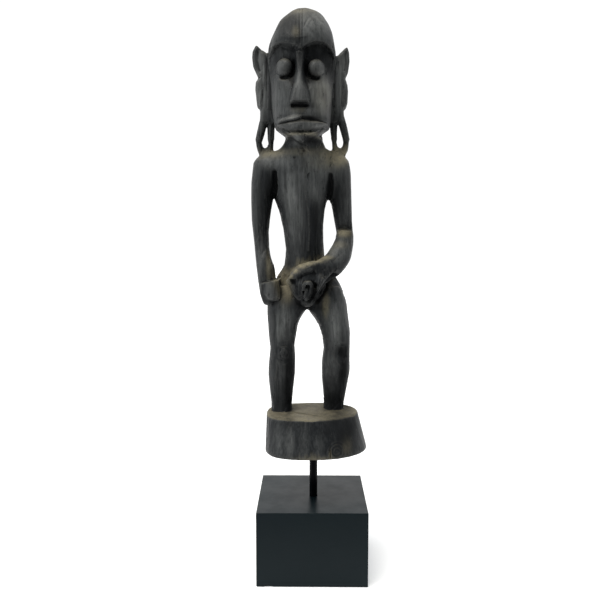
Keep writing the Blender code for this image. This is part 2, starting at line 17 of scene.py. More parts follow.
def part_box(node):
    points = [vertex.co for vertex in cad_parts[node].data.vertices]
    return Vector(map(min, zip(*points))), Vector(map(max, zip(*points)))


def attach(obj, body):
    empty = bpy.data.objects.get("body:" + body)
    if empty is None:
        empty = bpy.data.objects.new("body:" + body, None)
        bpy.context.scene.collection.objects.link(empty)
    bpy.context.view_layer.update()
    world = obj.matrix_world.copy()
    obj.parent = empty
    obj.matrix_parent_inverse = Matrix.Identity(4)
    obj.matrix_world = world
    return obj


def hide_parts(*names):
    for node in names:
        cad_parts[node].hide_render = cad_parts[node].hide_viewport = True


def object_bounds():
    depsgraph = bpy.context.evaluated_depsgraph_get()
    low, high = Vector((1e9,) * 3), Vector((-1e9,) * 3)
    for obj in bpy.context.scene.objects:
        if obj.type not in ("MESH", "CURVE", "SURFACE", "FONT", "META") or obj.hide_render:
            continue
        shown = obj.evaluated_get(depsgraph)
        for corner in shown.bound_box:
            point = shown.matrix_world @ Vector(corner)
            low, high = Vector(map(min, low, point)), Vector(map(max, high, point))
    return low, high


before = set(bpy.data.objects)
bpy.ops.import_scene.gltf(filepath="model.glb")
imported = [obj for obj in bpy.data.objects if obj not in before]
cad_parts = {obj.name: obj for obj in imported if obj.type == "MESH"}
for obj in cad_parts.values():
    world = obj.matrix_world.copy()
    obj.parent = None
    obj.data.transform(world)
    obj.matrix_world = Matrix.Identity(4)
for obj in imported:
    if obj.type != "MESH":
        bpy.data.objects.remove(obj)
frame_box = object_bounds()
print("nodes in the frame:", sorted(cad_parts))
print("frame box, metres:", [round(value, 4) for corner in frame_box for value in corner])

# %% [markdown]
# ## Camera
#
# The figure is looked at from straight ahead, level with its elbows, from about three quarters
# of a metre. A lens of 42 mm on a 36 mm sensor takes in the whole height from there, and the
# slight downward tilt shows the top of the block.

# %% Camera
LENS = 42.49
SENSOR = 36.0
CAMERA_PLACE = (-0.0043, -0.748, 0.3595)
CAMERA_DOWN = 0.0944
CAMERA_TURN = 0.0116


def make_camera():
    data = bpy.data.cameras.new("studio_camera")
    data.lens = LENS
    data.sensor_width = SENSOR
    camera = bpy.data.objects.new("studio_camera", data)
    camera.location = CAMERA_PLACE
    camera.rotation_euler = (math.pi / 2 - CAMERA_DOWN, 0.0, CAMERA_TURN)
    bpy.context.scene.collection.objects.link(camera)
    bpy.context.scene.camera = camera
    return camera


camera = make_camera()
print("the camera sees", round(math.degrees(camera.data.angle), 1), "degrees across")

# %% [markdown]
# ## Floor
#
# The object stands on a plain pale table. Lamps alone could bring it to white, but they would
# wash out the dark wood too. So the table glows a little by itself, clips to white except for
# a soft shadow round the block, and is painted darker in front of the object, as painted shade.

# %% Floor
FLOOR_SIZE = 14.0
TABLE_WHITE = 0.87
TABLE_SHADED = 0.30
TABLE_GLOW = 0.30
SHADE_RUN = (-0.40, -0.10)
GLOW_RUN = (-0.25, -0.08)
WHITE = (1.0, 1.0, 1.0, 1.0)


def new_material(name, base, roughness):
    made = bpy.data.materials.new(name)
    made.use_nodes = True
    shader = made.node_tree.nodes["Principled BSDF"]
    shader.inputs["Base Color"].default_value = base
    shader.inputs["Roughness"].default_value = roughness
    return made, made.node_tree, shader


def share_of_depth(tree, low, high):
    """0 in front of low and 1 behind high, along the floor."""
    place = tree.nodes.new("ShaderNodeTexCoord")
    axes = tree.nodes.new("ShaderNodeSeparateXYZ")
    share = tree.nodes.new("ShaderNodeMapRange")
    share.interpolation_type = "SMOOTHSTEP"
    share.inputs["From Min"].default_value = low
    share.inputs["From Max"].default_value = high
    tree.links.new(place.outputs["Object"], axes.inputs["Vector"])
    tree.links.new(axes.outputs["Y"], share.inputs["Value"])
    return share


def table_material():
    """A pale table, whitest under and behind the object, with painted shade in front of it."""
    made, tree, shader = new_material("pale_table", WHITE, 0.9)
    # Painted shade: the table's colour darkens in front of the object.
    tone = share_of_depth(tree, *SHADE_RUN)
    tone.inputs["To Min"].default_value = TABLE_SHADED
    tone.inputs["To Max"].default_value = TABLE_WHITE
    glow = share_of_depth(tree, *GLOW_RUN)
    glow.inputs["To Max"].default_value = TABLE_GLOW
    tree.links.new(tone.outputs["Result"], shader.inputs["Base Color"])
    tree.links.new(glow.outputs["Result"], shader.inputs["Emission Strength"])
    shader.inputs["Emission Color"].default_value = WHITE
    return made


def make_floor():
    bm = bmesh.new()
    bmesh.ops.create_grid(bm, x_segments=8, y_segments=8, size=FLOOR_SIZE / 2)
    mesh = bpy.data.meshes.new("studio_floor")
    bm.to_mesh(mesh)
    bm.free()
    floor = bpy.data.objects.new("studio_floor", mesh)
    bpy.context.scene.collection.objects.link(floor)
    mesh.materials.append(table_material())


make_floor()
print("floor, metres across:", FLOOR_SIZE)

# %% [markdown]
# ## Surroundings and lamps
#
# Dark wood shows its carving only where something bright is reflected in it. So the studio is
# white behind and dimmer in front, which leaves a thin bright rim on each edge. One broad lamp
# from above draws the brow, the shoulders and the top of the drum, and a weak one from the
# left works like a window. Many small lamps could do the same, but two are easier to judge.

# %% Surroundings and lamps
BACK_LIGHT = 1.06
FRONT_TINT = (0.86, 0.95, 1.0, 1.0)
FRONT_LIGHT = 0.265
LIGHT_RUN = (-0.55, 0.35)
TINT_RUN = (-0.3, 0.3)
OVERHEAD_STRENGTH = 2.25
OVERHEAD_ANGLE = math.radians(36)
OVERHEAD_FROM = Vector((-0.30, -0.38, 1.0))
OVERHEAD_TINT = (1.0, 0.975, 0.93)
WINDOW_PLACE = Vector((-1.30, -0.75, 0.75))
WINDOW_AIM = Vector((0.0, 0.0, 0.33))
WINDOW_SIZE = 0.6
WINDOW_WATTS = 5.0
WINDOW_TINT = (0.93, 0.97, 1.0)


def make_surroundings():
    """White behind the figure and dimmer in front of it, by the direction looked in."""
    world = bpy.data.worlds.new("studio_white")
    bpy.context.scene.world = world
    world.use_nodes = True
    tree = world.node_tree
    tree.nodes.clear()
    link = tree.links.new
    direction = tree.nodes.new("ShaderNodeTexCoord")
    axes = tree.nodes.new("ShaderNodeSeparateXYZ")
    share = tree.nodes.new("ShaderNodeMapRange")
    share.interpolation_type = "SMOOTHSTEP"
    share.inputs["From Min"].default_value = LIGHT_RUN[0]
    share.inputs["From Max"].default_value = LIGHT_RUN[1]
    share.inputs["To Min"].default_value = FRONT_LIGHT
    share.inputs["To Max"].default_value = BACK_LIGHT
    glow = tree.nodes.new("ShaderNodeBackground")
    tint = tree.nodes.new("ShaderNodeMix")
    tint.data_type = "RGBA"
    tint.inputs[6].default_value = FRONT_TINT
    tint.inputs[7].default_value = WHITE
    behind = tree.nodes.new("ShaderNodeMapRange")
    behind.inputs["From Min"].default_value = TINT_RUN[0]
    behind.inputs["From Max"].default_value = TINT_RUN[1]
    out = tree.nodes.new("ShaderNodeOutputWorld")
    link(direction.outputs["Generated"], axes.inputs["Vector"])
    link(axes.outputs["Y"], share.inputs["Value"])
    link(axes.outputs["Y"], behind.inputs["Value"])
    link(behind.outputs["Result"], tint.inputs["Factor"])
    link(tint.outputs[2], glow.inputs["Color"])
    link(share.outputs["Result"], glow.inputs["Strength"])
    link(glow.outputs["Background"], out.inputs["Surface"])


def lamp(name, kind, place, aim, power, tint):
    data = bpy.data.lights.new(name, kind)
    data.energy = power
    data.color = tint
    thing = bpy.data.objects.new(name, data)
    thing.location = place
    thing.rotation_euler = (aim - place).to_track_quat("-Z", "Y").to_euler()
    bpy.context.scene.collection.objects.link(thing)
    return data


make_surroundings()
floor_middle = Vector((0, 0, 0))
overhead = lamp("overhead", "SUN", OVERHEAD_FROM * 2, floor_middle, OVERHEAD_STRENGTH, OVERHEAD_TINT)
overhead.angle = OVERHEAD_ANGLE
window = lamp("window", "AREA", WINDOW_PLACE, WINDOW_AIM, WINDOW_WATTS, WINDOW_TINT)
window.size = WINDOW_SIZE
bpy.context.scene.view_settings.view_transform = "Standard"
print("lamps:", overhead.name, overhead.energy, "and", window.name, window.energy)

# %% [markdown]
# ## Small helpers
#
# All the carving is done by moving points of one fine mesh. Reading and writing the points as
# one array keeps that quick. Places on the figure are given in millimetres from the rod's
# axis and above the drum's top, with y growing away from the viewer, as a carver would
# measure them.

# %% Helpers for points
ROD_AXIS = Vector((0.0015, -0.0065, 0.0))
DRUM_TOP = 0.1696
MILLIMETRE = 0.001
CARVER_ORIGIN = np.array((ROD_AXIS.x, ROD_AXIS.y, DRUM_TOP))


def link_object(name, mesh):
    thing = bpy.data.objects.new(name, mesh)
    bpy.context.scene.collection.objects.link(thing)
    return thing


def read_points(mesh, what="co"):
    values = np.empty(len(mesh.vertices) * 3, np.float32)
    mesh.vertices.foreach_get(what, values)
    return values.reshape(-1, 3).astype(float)


def write_points(mesh, places):
    mesh.vertices.foreach_set("co", places.astype(np.float32).ravel())
    mesh.update()


def to_carver(places):
    return (places - CARVER_ORIGIN) / MILLIMETRE


def from_carver(places):
    return places * MILLIMETRE + CARVER_ORIGIN


def settle(thing):
    """Puts the result of an object's modifiers into its mesh."""
    graph = bpy.context.evaluated_depsgraph_get()
    settled = bpy.data.meshes.new_from_object(thing.evaluated_get(graph))
    thing.modifiers.clear()
    thing.data = settled


def ease(value, low, high):
    """0 below low, 1 above high, with a soft run between."""
    t = np.clip((value - low) / (high - low), 0.0, 1.0)
    return t * t * (3 - 2 * t)


def edge_ends(mesh):
    ends = np.empty(len(mesh.edges) * 2, np.int32)
    mesh.edges.foreach_get("vertices", ends)
    return ends.reshape(-1, 2)


def neighbour_mean(values, ends):
    """Each point's value becomes the mean of the values at the other ends of its edges."""
    total = np.zeros_like(values)
    for i in range(values.shape[1]):
        total[:, i] = np.bincount(ends[:, 0], values[ends[:, 1], i], len(values))
        total[:, i] += np.bincount(ends[:, 1], values[ends[:, 0], i], len(values))
    number = np.bincount(ends.ravel(), minlength=len(values))
    return total / np.maximum(number, 1)[:, None]


def closed_form(name, rings):
    """A closed solid through rings of points in carver's millimetres."""
    bm = bmesh.new()
    loops = [[bm.verts.new(from_carver(point)) for point in ring] for ring in np.array(rings)]
    count = len(loops[0])
    for lower, upper in zip(loops, loops[1:]):
        for i in range(count):
            j = (i + 1) % count
            bm.faces.new((lower[i], lower[j], upper[j], upper[i]))
    bm.faces.new(loops[0][::-1])
    bm.faces.new(loops[-1])
    bmesh.ops.recalc_face_normals(bm, faces=bm.faces)
    mesh = bpy.data.meshes.new(name)
    bm.to_mesh(mesh)
    bm.free()
    return mesh


print("carver's zero, metres:", [round(float(value), 4) for value in CARVER_ORIGIN])

# %% [markdown]
# ## The head's plain form
#
# Before the face is cut, the head is a smooth egg standing on its narrow end. It is given by
# level slices: height, left side, right side, front and back. A curve through them that never
# overshoots gives the form at any height, so the face can be laid on it as a relief.

# %% Plain head
HEAD_SLICES = np.array(
    [
        (283.5, -24.0, -0.8, -30.0, 12.0),
        (286.5, -27.4, 2.6, -36.0, 17.0),
        (290.5, -32.8, 8.2, -38.0, 21.0),
        (296.3, -39.2, 15.4, -38.5, 25.0),
        (308.1, -41.4, 16.9, -38.0, 31.0),
        (322.9, -42.8, 17.9, -35.5, 36.0),
        (337.6, -43.8, 19.0, -34.0, 39.0),
        (352.3, -45.2, 20.2, -33.5, 40.0),
        (364.0, -46.6, 21.6, -33.5, 40.0),
        (371.0, -46.5, 21.5, -33.3, 39.5),
        (378.0, -45.4, 20.4, -32.5, 38.0),
        (384.0, -43.2, 19.4, -31.0, 36.0),
        (389.8, -40.8, 18.0, -28.8, 33.0),
    ]
)
HEAD_SQUARENESS = 2.7


def curve_through(rows, at):
    """A smooth curve through rows (place first), which never swings past a row's own values."""
    places, stops = rows[:, 0], rows[:, 1:]
    gap = np.diff(places)[:, None]
    slope = np.diff(stops, axis=0) / gap
    tangent = np.zeros_like(stops)
    tangent[0], tangent[-1] = slope[0], slope[-1]
    same_way = slope[:-1] * slope[1:] > 0
    total = np.where(same_way, slope[:-1] + slope[1:], 1.0)
    tangent[1:-1] = np.where(same_way, 2 * slope[:-1] * slope[1:] / total, 0.0)
    index = np.clip(np.searchsorted(places, at) - 1, 0, len(places) - 2)
    width = gap[index]
    u = (at[:, None] - places[index][:, None]) / width
    return (
        stops[index] * (2 * u**3 - 3 * u**2 + 1)
        + width * tangent[index] * (u**3 - 2 * u**2 + u)
        + stops[index + 1] * (3 * u**2 - 2 * u**3)
        + width * tangent[index + 1] * (u**3 - u**2)
    )


def head_slice(height):
    """Middle, half width, middle depth and front depth of the plain head at each height."""
    height = np.clip(height, HEAD_SLICES[0, 0], HEAD_SLICES[-1, 0])
    left, right, front, back = curve_through(HEAD_SLICES, height).T
    return (left + right) / 2, (right - left) / 2, (front + back) / 2, front


head_widths = HEAD_SLICES[:, 2] - HEAD_SLICES[:, 1]
print("plain head, from", round(head_widths.min(), 1), "to", round(head_widths.max(), 1), "mm wide")

# %% [markdown]
# ## Eye sockets
#
# The real face is cut back from the plain form, and the brow and the nose are what was never
# cut back. The cuts could be sculpted by hand, but that can't be repeated or corrected by a
# millimetre. So each is a small function of the place on the face, and says how far the wood
# stands out of the plain form, or in where it is negative. Two arched sockets come first.

# %% Sockets
BROW = np.array(
    [
        (-48.0, 363.0),
        (-44.1, 369.4),
        (-39.7, 373.6),
        (-35.5, 375.4),
        (-31.0, 375.9),
        (-24.9, 374.6),
        (-19.0, 372.0),
        (-13.1, 368.4),
        (-8.2, 372.0),
        (-2.3, 375.3),
        (3.6, 376.2),
        (8.0, 375.6),
        (11.4, 374.3),
        (17.3, 369.2),
        (22.0, 360.0),
    ]
)
SOCKET_DEPTH = 8.0
NEAR_NOSE_DEPTH = 2.5
NOSE_X = -14.2


def along(table, at):
    return np.interp(at, table[:, 0], table[:, 1])


def socket_relief(x, z):
    below = along(BROW, x) - z
    wall = 1.3 + 3.6 * (1.0 - ease(x, -17.0, -12.0))
    cut = ease(below / wall, -0.2, 1.0) * (1.0 - ease(below, 15.0, 47.0))
    near_nose = 1.0 - ease(np.abs(x - NOSE_X), 7.0, 19.0)
    return -(SOCKET_DEPTH + NEAR_NOSE_DEPTH * near_nose * ease(below, 8.0, 18.0)) * cut


print("sockets, mm deep:", SOCKET_DEPTH)

# %% [markdown]
# ## Eyes
#
# A ball is left standing in each socket, with a ring cut round it. A sphere could be set in
# the socket, but the ring runs out into the socket's floor, so both are one function. The
# ring is deepest on one side, which gives each ball its dark crescent.

# %% Eyes
EYES = [(-30.2, 352.7, -38.0), (2.2, 351.6, -140.0)]
EYE_RADIUS = 8.7
EYE_SINK = 8.2
RING_SHALLOW = 0.5
RING_DEEPER = 6.8


def eye_relief(x, z, depth):
    """Each ball stands in a ring cut round it, deepest on the side named by its angle."""
    for centre_x, centre_z, deepest in EYES:
        off = np.hypot(x - centre_x, z - centre_z)
        angle = np.degrees(np.arctan2(z - centre_z, x - centre_x))
        turn = np.abs((angle - deepest + 180.0) % 360.0 - 180.0)
        ring = ease(off, EYE_RADIUS - 1.5, EYE_RADIUS)
        ring = ring * (1.0 - ease(off, EYE_RADIUS + 1.2, EYE_RADIUS + 5.4))
        depth = depth - ring * (RING_SHALLOW + RING_DEEPER * (1.0 - ease(turn, 45.0, 85.0)))
        dome = np.sqrt(np.maximum(EYE_RADIUS**2 - off**2, 0.0))
        depth = np.where(off < EYE_RADIUS, np.maximum(depth, dome - EYE_SINK), depth)
    return depth


def on_eye(places):
    """1 on the two balls and 0 elsewhere, so that the knife leaves them round."""
    x, y, z = places.T
    share = np.zeros(len(places))
    for centre_x, centre_z, _ in EYES:
        share += 1.0 - ease(np.hypot(x - centre_x, z - centre_z), EYE_RADIUS, EYE_RADIUS + 0.6)
    return share * ease(-y, 15.0, 20.0)


print("eye balls, mm across:", 2 * EYE_RADIUS)

# %% [markdown]
# ## Nose
#
# The nose is a wedge that widens downwards, with a flat facet on its end and a cut under it.
# It could be a solid of its own. Three short tables, for its ridge, its half width and the
# facet's, are easier to correct, and leave no seam where it meets the face.

# %% Nose
NOSE_RIDGE = np.array(
    [
        (311.0, 8.4),
        (317.0, 8.8),
        (326.0, 8.0),
        (334.0, 6.8),
        (345.0, 3.6),
        (356.0, 0.8),
        (369.0, -2.4),
        (374.0, -2.6),
    ]
)
NOSE_HALF = np.array(
    [
        (311.0, 9.0),
        (314.0, 9.6),
        (319.0, 10.0),
        (322.0, 9.7),
        (336.8, 5.8),
        (355.5, 5.2),
        (372.0, 5.8),
    ]
)
NOSE_FLAT = np.array(
    [
        (311.0, 7.0),
        (317.0, 7.4),
        (322.0, 6.6),
        (336.0, 1.5),
        (346.0, 1.4),
        (355.0, 2.6),
        (372.0, 3.4),
    ]
)
NOSE_CUT_PLACE = 313.6
NOSE_CUT_HALF = 1.5
NOSE_CUT_DEPTH = 4.2


def nose_relief(x, z, depth):
    """A wedge that widens downwards, with a flat facet on its end and a cut under it."""
    off = np.abs(x - NOSE_X)
    half, flat = along(NOSE_HALF, z), along(NOSE_FLAT, z)
    side = np.clip((half - off) / (half - flat), 0.0, 1.0)
    length = ease(z, 314.2, 316.2) * (1.0 - ease(z, 366.0, 372.0))
    rise = along(NOSE_RIDGE, z)
    depth = depth + (np.maximum(rise, depth) - depth) * side**0.85 * length
    under = np.exp(-(((z - NOSE_CUT_PLACE) / NOSE_CUT_HALF) ** 2)) * (1.0 - ease(off, 7.0, 9.2))
    return depth - NOSE_CUT_DEPTH * under


print("nose, mm at its widest:", 2 * NOSE_HALF[:, 1].max())

# %% [markdown]
# ## Lips
#
# The lips are shaped like a long leaf with a notch in its upper edge. Three lines follow the
# upper edge, the mouth and the lower edge, and the wood between them is raised or cut back.
# Raising it in the relief keeps the thin edges crisp, where a modelled pair of lips would melt
# into the skin.

# %% Lips
LIP_TOP = np.array(
    [
        (-38.2, 298.2),
        (-34.8, 300.3),
        (-30.6, 301.7),
        (-26.7, 303.0),
        (-18.8, 305.0),
        (-13.5, 306.4),
        (-12.0, 304.8),
        (-4.2, 304.0),
        (3.6, 301.5),
        (11.6, 299.1),
        (15.4, 297.8),
    ]
)
LIP_LINE = np.array(
    [
        (-38.2, 297.6),
        (-35.3, 297.0),
        (-30.7, 297.1),
        (-26.7, 297.7),
        (-16.9, 299.3),
        (-13.0, 300.2),
        (-4.2, 299.0),
        (3.6, 298.7),
        (11.6, 297.9),
        (15.4, 297.6),
    ]
)
LIP_FOOT = np.array(
    [
        (-38.2, 297.0),
        (-34.7, 293.2),
        (-30.7, 291.1),
        (-23.7, 289.4),
        (-12.0, 289.2),
        (-2.3, 290.1),
        (7.5, 292.9),
        (13.7, 296.0),
        (15.4, 297.2),
    ]
)
LIP_NOTCH_X = -12.4
MOUTH_DEPTH = 1.3
UNDER_LIP_DEPTH = 1.9
CHIN_RIM = 1.3


def lip_relief(x, z):
    """Left of the notch the upper lip stands proud; right of it, it is cut back under its edge."""
    top, foot, line = along(LIP_TOP, x), along(LIP_FOOT, x), along(LIP_LINE, x)
    across = ease(x, -38.6, -36.0) * (1.0 - ease(x, 13.0, 15.6))
    left_half = 1.0 - ease(x, LIP_NOTCH_X - 0.4, LIP_NOTCH_X + 0.4)
    up = np.clip((z - line) / np.maximum(top - line, 1.0), 0.0, 1.0)
    proud = 1.0 + 2.6 * ease(up, 0.0, 0.3) * (1.0 - ease(up, 0.35, 1.0))
    cut_back = 1.3 - 3.8 * (1.0 - up)
    upper = ease(z, line - 0.3, line + 0.5) * (1.0 - ease(z, top - 0.3, top + 0.5))
    upper_out = upper * (left_half * proud + (1.0 - left_half) * cut_back)
    down = np.clip((line - z) / np.maximum(line - foot, 1.0), 0.0, 1.0)
    lower = ease(z, foot - 0.2, foot + 0.6) * (1.0 - ease(z, line - 0.5, line + 0.3))
    lower_out = lower * (1.6 + 2.0 * ease(down, 0.0, 0.35) - 0.6 * ease(down, 0.5, 1.0))
    mouth = np.exp(-(((z - line) / 0.7) ** 2))
    under_lip = np.exp(-(((z - foot + 0.6) / 0.9) ** 2))
    rim = np.exp(-(((z - foot + 2.7) / 1.0) ** 2))
    cuts = upper_out + lower_out - MOUTH_DEPTH * mouth - UNDER_LIP_DEPTH * under_lip
    return across * (cuts + CHIN_RIM * rim)


print("lips, mm across:", round(LIP_LINE[-1, 0] - LIP_LINE[0, 0], 1))

# %% [markdown]
# ## The face as a relief
#
# The parts lie over each other as they were cut: the sockets first, the balls in them, the
# nose over both, and the lips below. Adding them in that order is simpler than joining solids.

# %% Face relief
def face_relief(x, z):
    depth = eye_relief(x, z, socket_relief(x, z))
    return nose_relief(x, z, depth) + lip_relief(x, z)


ball_x, ball_z = np.array(EYES).T[:2]
print("relief at the middle of the two balls, mm:", face_relief(ball_x, ball_z).round(2))

# %% [markdown]
# ## The face as a solid
#
# The relief is laid on the front of the plain head as a fine grid, closed behind inside the
# head. Its rows stay as they are, and only the depth of each point follows the relief. The
# grid is finer than the solid's own facets, so the brow and the lips come out as crisp cuts.

# %% Face block
FACE_FOOT = 284.5
FACE_TOP = 382.0
FACE_STEP = 0.5
FACE_ACROSS = 250


def face_block():
    heights = np.arange(FACE_FOOT, FACE_TOP, FACE_STEP)
    middle, half, deep, front = head_slice(heights)
    share = np.sin(np.linspace(-math.pi / 2, math.pi / 2, FACE_ACROSS))
    round_off = (1.0 - np.abs(share) ** HEAD_SQUARENESS) ** (1.0 / HEAD_SQUARENESS)
    rings = []
    for z, m, h, d, f in zip(heights, middle, half, deep, front):
        x = m + h * share
        y = d + (f - d) * round_off
        y = y - face_relief(x, np.full_like(x, z)) * ease(d - y, 8.0, 17.0)
        skin = np.stack([x, y, np.full_like(x, z)], axis=1)
        inside = [(m + 0.8 * h, d + 6.0, z), (m - 0.8 * h, d + 6.0, z)]
        rings.append(np.vstack([skin, inside]))
    return closed_form("face_block", rings)


face_mesh = face_block()
print("face block:", len(face_mesh.polygons), "faces")

# %% [markdown]
# ## Fingers
#
# The right hand is a closed fist with fingers curled round a knob. They could be sculpted, but
# short tubes of varying thickness follow a finger well, and merge with the hand once everything
# is made one skin. The hook is laid down several times, one behind the other, so that it grows
# out of the fist.

# %% Fingers
OUTER_FINGER = [
    (20.0, -13.0, 152.5, 6.6),
    (14.0, -20.5, 147.5, 5.8),
    (7.6, -27.0, 141.0, 4.4),
    (3.2, -29.5, 133.0, 3.6),
    (0.2, -28.0, 125.0, 3.0),
    (-4.0, -24.5, 119.8, 2.7),
]
TOP_RIDGE = [
    (4.0, -24.0, 156.0, 4.0),
    (-4.6, -29.2, 153.4, 3.6),
    (-11.6, -30.4, 151.2, 3.3),
    (-18.0, -29.6, 147.6, 3.0),
    (-24.0, -25.5, 143.4, 2.5),
    (-27.4, -21.0, 140.6, 1.9),
]
HOOK = [
    (-10.4, -34.0, 132.6, 1.4),
    (-10.2, -36.4, 137.0, 1.7),
    (-7.9, -37.6, 140.2, 1.9),
    (-4.6, -37.4, 140.2, 2.0),
    (-2.6, -36.6, 136.6, 1.9),
    (-3.2, -35.6, 131.4, 1.8),
    (-5.4, -34.0, 126.2, 1.9),
    (-8.6, -31.0, 122.4, 1.8),
]
HOOK_DEEPER = (1.8, 3.6, 5.4)
KNOB = [
    (-7.4, -32.0, 135.6, 1.4),
    (-7.2, -34.4, 133.0, 1.8),
    (-7.8, -34.0, 129.2, 1.9),
    (-9.4, -31.5, 125.6, 1.6),
]
FINGERS = [
    [
        (-10.5, -28.0, 146.5, 2.0),
        (-12.8, -31.0, 139.5, 1.9),
        (-12.4, -30.0, 131.5, 1.9),
        (-9.8, -26.0, 123.8, 1.8),
    ],
    [
        (-13.0, -27.0, 146.5, 2.1),
        (-15.2, -29.5, 138.5, 2.0),
        (-15.0, -28.0, 130.5, 2.0),
        (-12.8, -23.5, 122.5, 1.8),
    ],
    [
        (-16.8, -26.5, 145.0, 1.9),
        (-18.2, -27.0, 136.5, 2.0),
        (-17.8, -25.0, 129.0, 1.9),
        (-16.0, -21.0, 122.5, 1.7),
    ],
]
PALM_END = [(-10.5, -19.5, 118.4, 2.4), (-6.5, -22.5, 117.6, 3.0), (-2.0, -22.0, 118.6, 2.4)]
TUBE_SIDES = 20
RINGS_PER_STOP = 8


def tube(name, stops):
    """A closed finger through stops of x, y, z and half thickness."""
    stops = np.array(stops)
    run = np.linalg.norm(np.diff(stops[:, :3], axis=0), axis=1)
    places = np.concatenate([[0.0], np.cumsum(run)])
    along_run = np.linspace(0, places[-1], RINGS_PER_STOP * len(stops))
    line = curve_through(np.column_stack([places, stops]), along_run)
    angle = np.linspace(0, 2 * math.pi, TUBE_SIDES, endpoint=False)
    rings = []
    for point, heading in zip(line, np.gradient(line[:, :3], axis=0)):
        heading = Vector(heading).normalized()
        side = heading.cross(Vector((0, 1, 0))).normalized()
        deep = heading.cross(side)
        ring = np.outer(np.cos(angle), side) + np.outer(np.sin(angle), deep)
        rings.append(point[:3] + ring * point[3])
    return closed_form(name, rings)


print("finger tubes, sides to each:", TUBE_SIDES)

# %% [markdown]
# ## Left hand and chin
#
# The left hand is a flat block that stands out from its wrist, with one long edge down its
# front. It has no fingers to follow, so level slices give it more simply than tubes. The small
# point under the chin is built from slices too.

# %% Left hand and chin
def hand_block():
    """The left hand: a block with a broad front, a narrow right side and a sloping foot."""
    corners = [(-52.6, -11.5), (-40.4, -21.6), (-35.6, -16.0), (-35.0, 2.0), (-51.6, 2.0)]
    heights = [
        ((127.5, 121.6, 123.8, 123.8, 127.5), 1.2, 2.6),
        ((129.5, 123.4, 125.6, 125.6, 129.5), 1.1, 0.6),
        ((133.5, 131.0, 132.0, 132.0, 133.5), 0.7, 0.1),
        ((138.0, 140.2, 141.0, 141.0, 138.0), 0.0, 0.0),
        ((138.8, 141.2, 142.0, 142.0, 138.8), 0.0, 0.7),
    ]
    rings = []
    for row, lean, trim in heights:
        rings.append([(x - lean, y + trim, z) for (x, y), z in zip(corners, row)])
    return closed_form("hand_block", rings)


def chin_point():
    """The small point that hangs under the chin: a broad left plane and a narrow right one."""
    rings = []
    for z, left, edge, right, front in (
        (278.6, -13.4, -11.8, -10.6, -32.0),
        (281.0, -17.6, -12.0, -9.2, -35.5),
        (283.6, -21.0, -12.2, -8.2, -38.0),
        (287.0, -23.0, -12.4, -7.4, -39.5),
    ):
        back = [(right, -10.0, z), (left, -10.0, z)]
        rings.append([(left, front + 5.5, z), (edge, front, z), (right, front + 7.0, z), *back])
    return closed_form("chin_point", rings)


def hand_parts():
    deeper = [[(x, y + back, z, thick) for x, y, z, thick in HOOK] for back in HOOK_DEEPER]
    tubes = [OUTER_FINGER, TOP_RIDGE, HOOK, *deeper, KNOB, PALM_END, *FINGERS]
    fingers = [tube(f"finger_{i}", stops) for i, stops in enumerate(tubes)]
    return [*fingers, hand_block(), chin_point()]


hand_meshes = hand_parts()
print("hands and chin:", len(hand_meshes), "closed parts")

# %% [markdown]
# ## One skin
#
# The solid from the frame is the blank. Where the fine face will lie, the blank's own face is
# pushed back a few millimetres. The blank, the face and the fingers are then put in one mesh,
# and a voxel remesh wraps them in one even skin of small squares, ready for the knife.

# %% One skin
FACE_SINK = 6.0
TUFT_SINK = 16.0
FIST_SINK = 3.5
PALM_SINK = 12.0
FINER_FROM = 108.0
SKIN_VOXEL = 0.00066
SKIN_EASE = 2
NECK_PASSES = 60


def make_room(places):
    """Pushes the blank back where the fine face, the chin's point and the curled finger will lie."""
    x, y, z = places.T
    middle, half, deep, _ = head_slice(z)
    share = np.abs(x - middle) / half
    inside = (1.0 - ease(share, 0.86, 0.97)) * ease(z, 284.5, 289.0) * (1.0 - ease(z, 372.0, 379.0))
    facing = ease(deep - y, 10.0, 18.0)
    under_chin = ease(z, 275.0, 279.0) * (1.0 - ease(z, 284.0, 286.5)) * ease(-y, 12.0, 22.0)
    in_fist = ease(x, -13.0, -10.0) * (1.0 - ease(x, -1.5, 0.5)) * ease(z, 119.0, 123.0)
    in_fist *= (1.0 - ease(z, 139.0, 143.0)) * ease(-y, 22.0, 29.0)
    slant = x - 0.55 * (z - 134.0)
    palm_side = ease(slant, 5.5, 9.0) * (1.0 - ease(slant, 15.0, 19.0)) * ease(z, 117.0, 122.0)
    palm_side *= (1.0 - ease(z, 141.0, 147.0)) * ease(-y, 9.0, 16.0)
    places[:, 1] += FACE_SINK * inside * facing + TUFT_SINK * under_chin
    places[:, 1] += FIST_SINK * in_fist + PALM_SINK * palm_side
    return places


def finer_blank():
    """The blank with more points above the knees, so that pushing it makes smooth forms."""
    bm = bmesh.new()
    bm.from_mesh(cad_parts["figure"].data)
    bmesh.ops.remove_doubles(bm, verts=bm.verts, dist=1e-6)
    start = DRUM_TOP + FINER_FROM * MILLIMETRE
    front = [edge for edge in bm.edges if all(v.co.z > start and v.co.y < 0.0 for v in edge.verts)]
    bmesh.ops.subdivide_edges(bm, edges=front, cuts=2, use_grid_fill=True)
    mesh = bpy.data.meshes.new("blank")
    bm.to_mesh(mesh)
    bm.free()
    return mesh


def soften(mesh, share, passes):
    """Evens out the points of one region; share says how much, from 0 to 1, at each point."""
    region = np.flatnonzero(share > 0)
    number = np.full(len(share), -1)
    number[region] = np.arange(len(region))
    ends = number[edge_ends(mesh)]
    ends = ends[(ends >= 0).all(axis=1)]
    places = read_points(mesh)
    smoothed = places[region]
    for _ in range(passes):
        smoothed = neighbour_mean(smoothed, ends)
    weight = share[region][:, None]
    places[region] = places[region] * (1.0 - weight) + smoothed * weight
    write_points(mesh, places)


def under_the_chin(places):
    _, y, z = places.T
    return ease(z, 266.0, 272.0) * (1.0 - ease(z, 285.0, 287.0)) * ease(y, -29.0, -25.0)


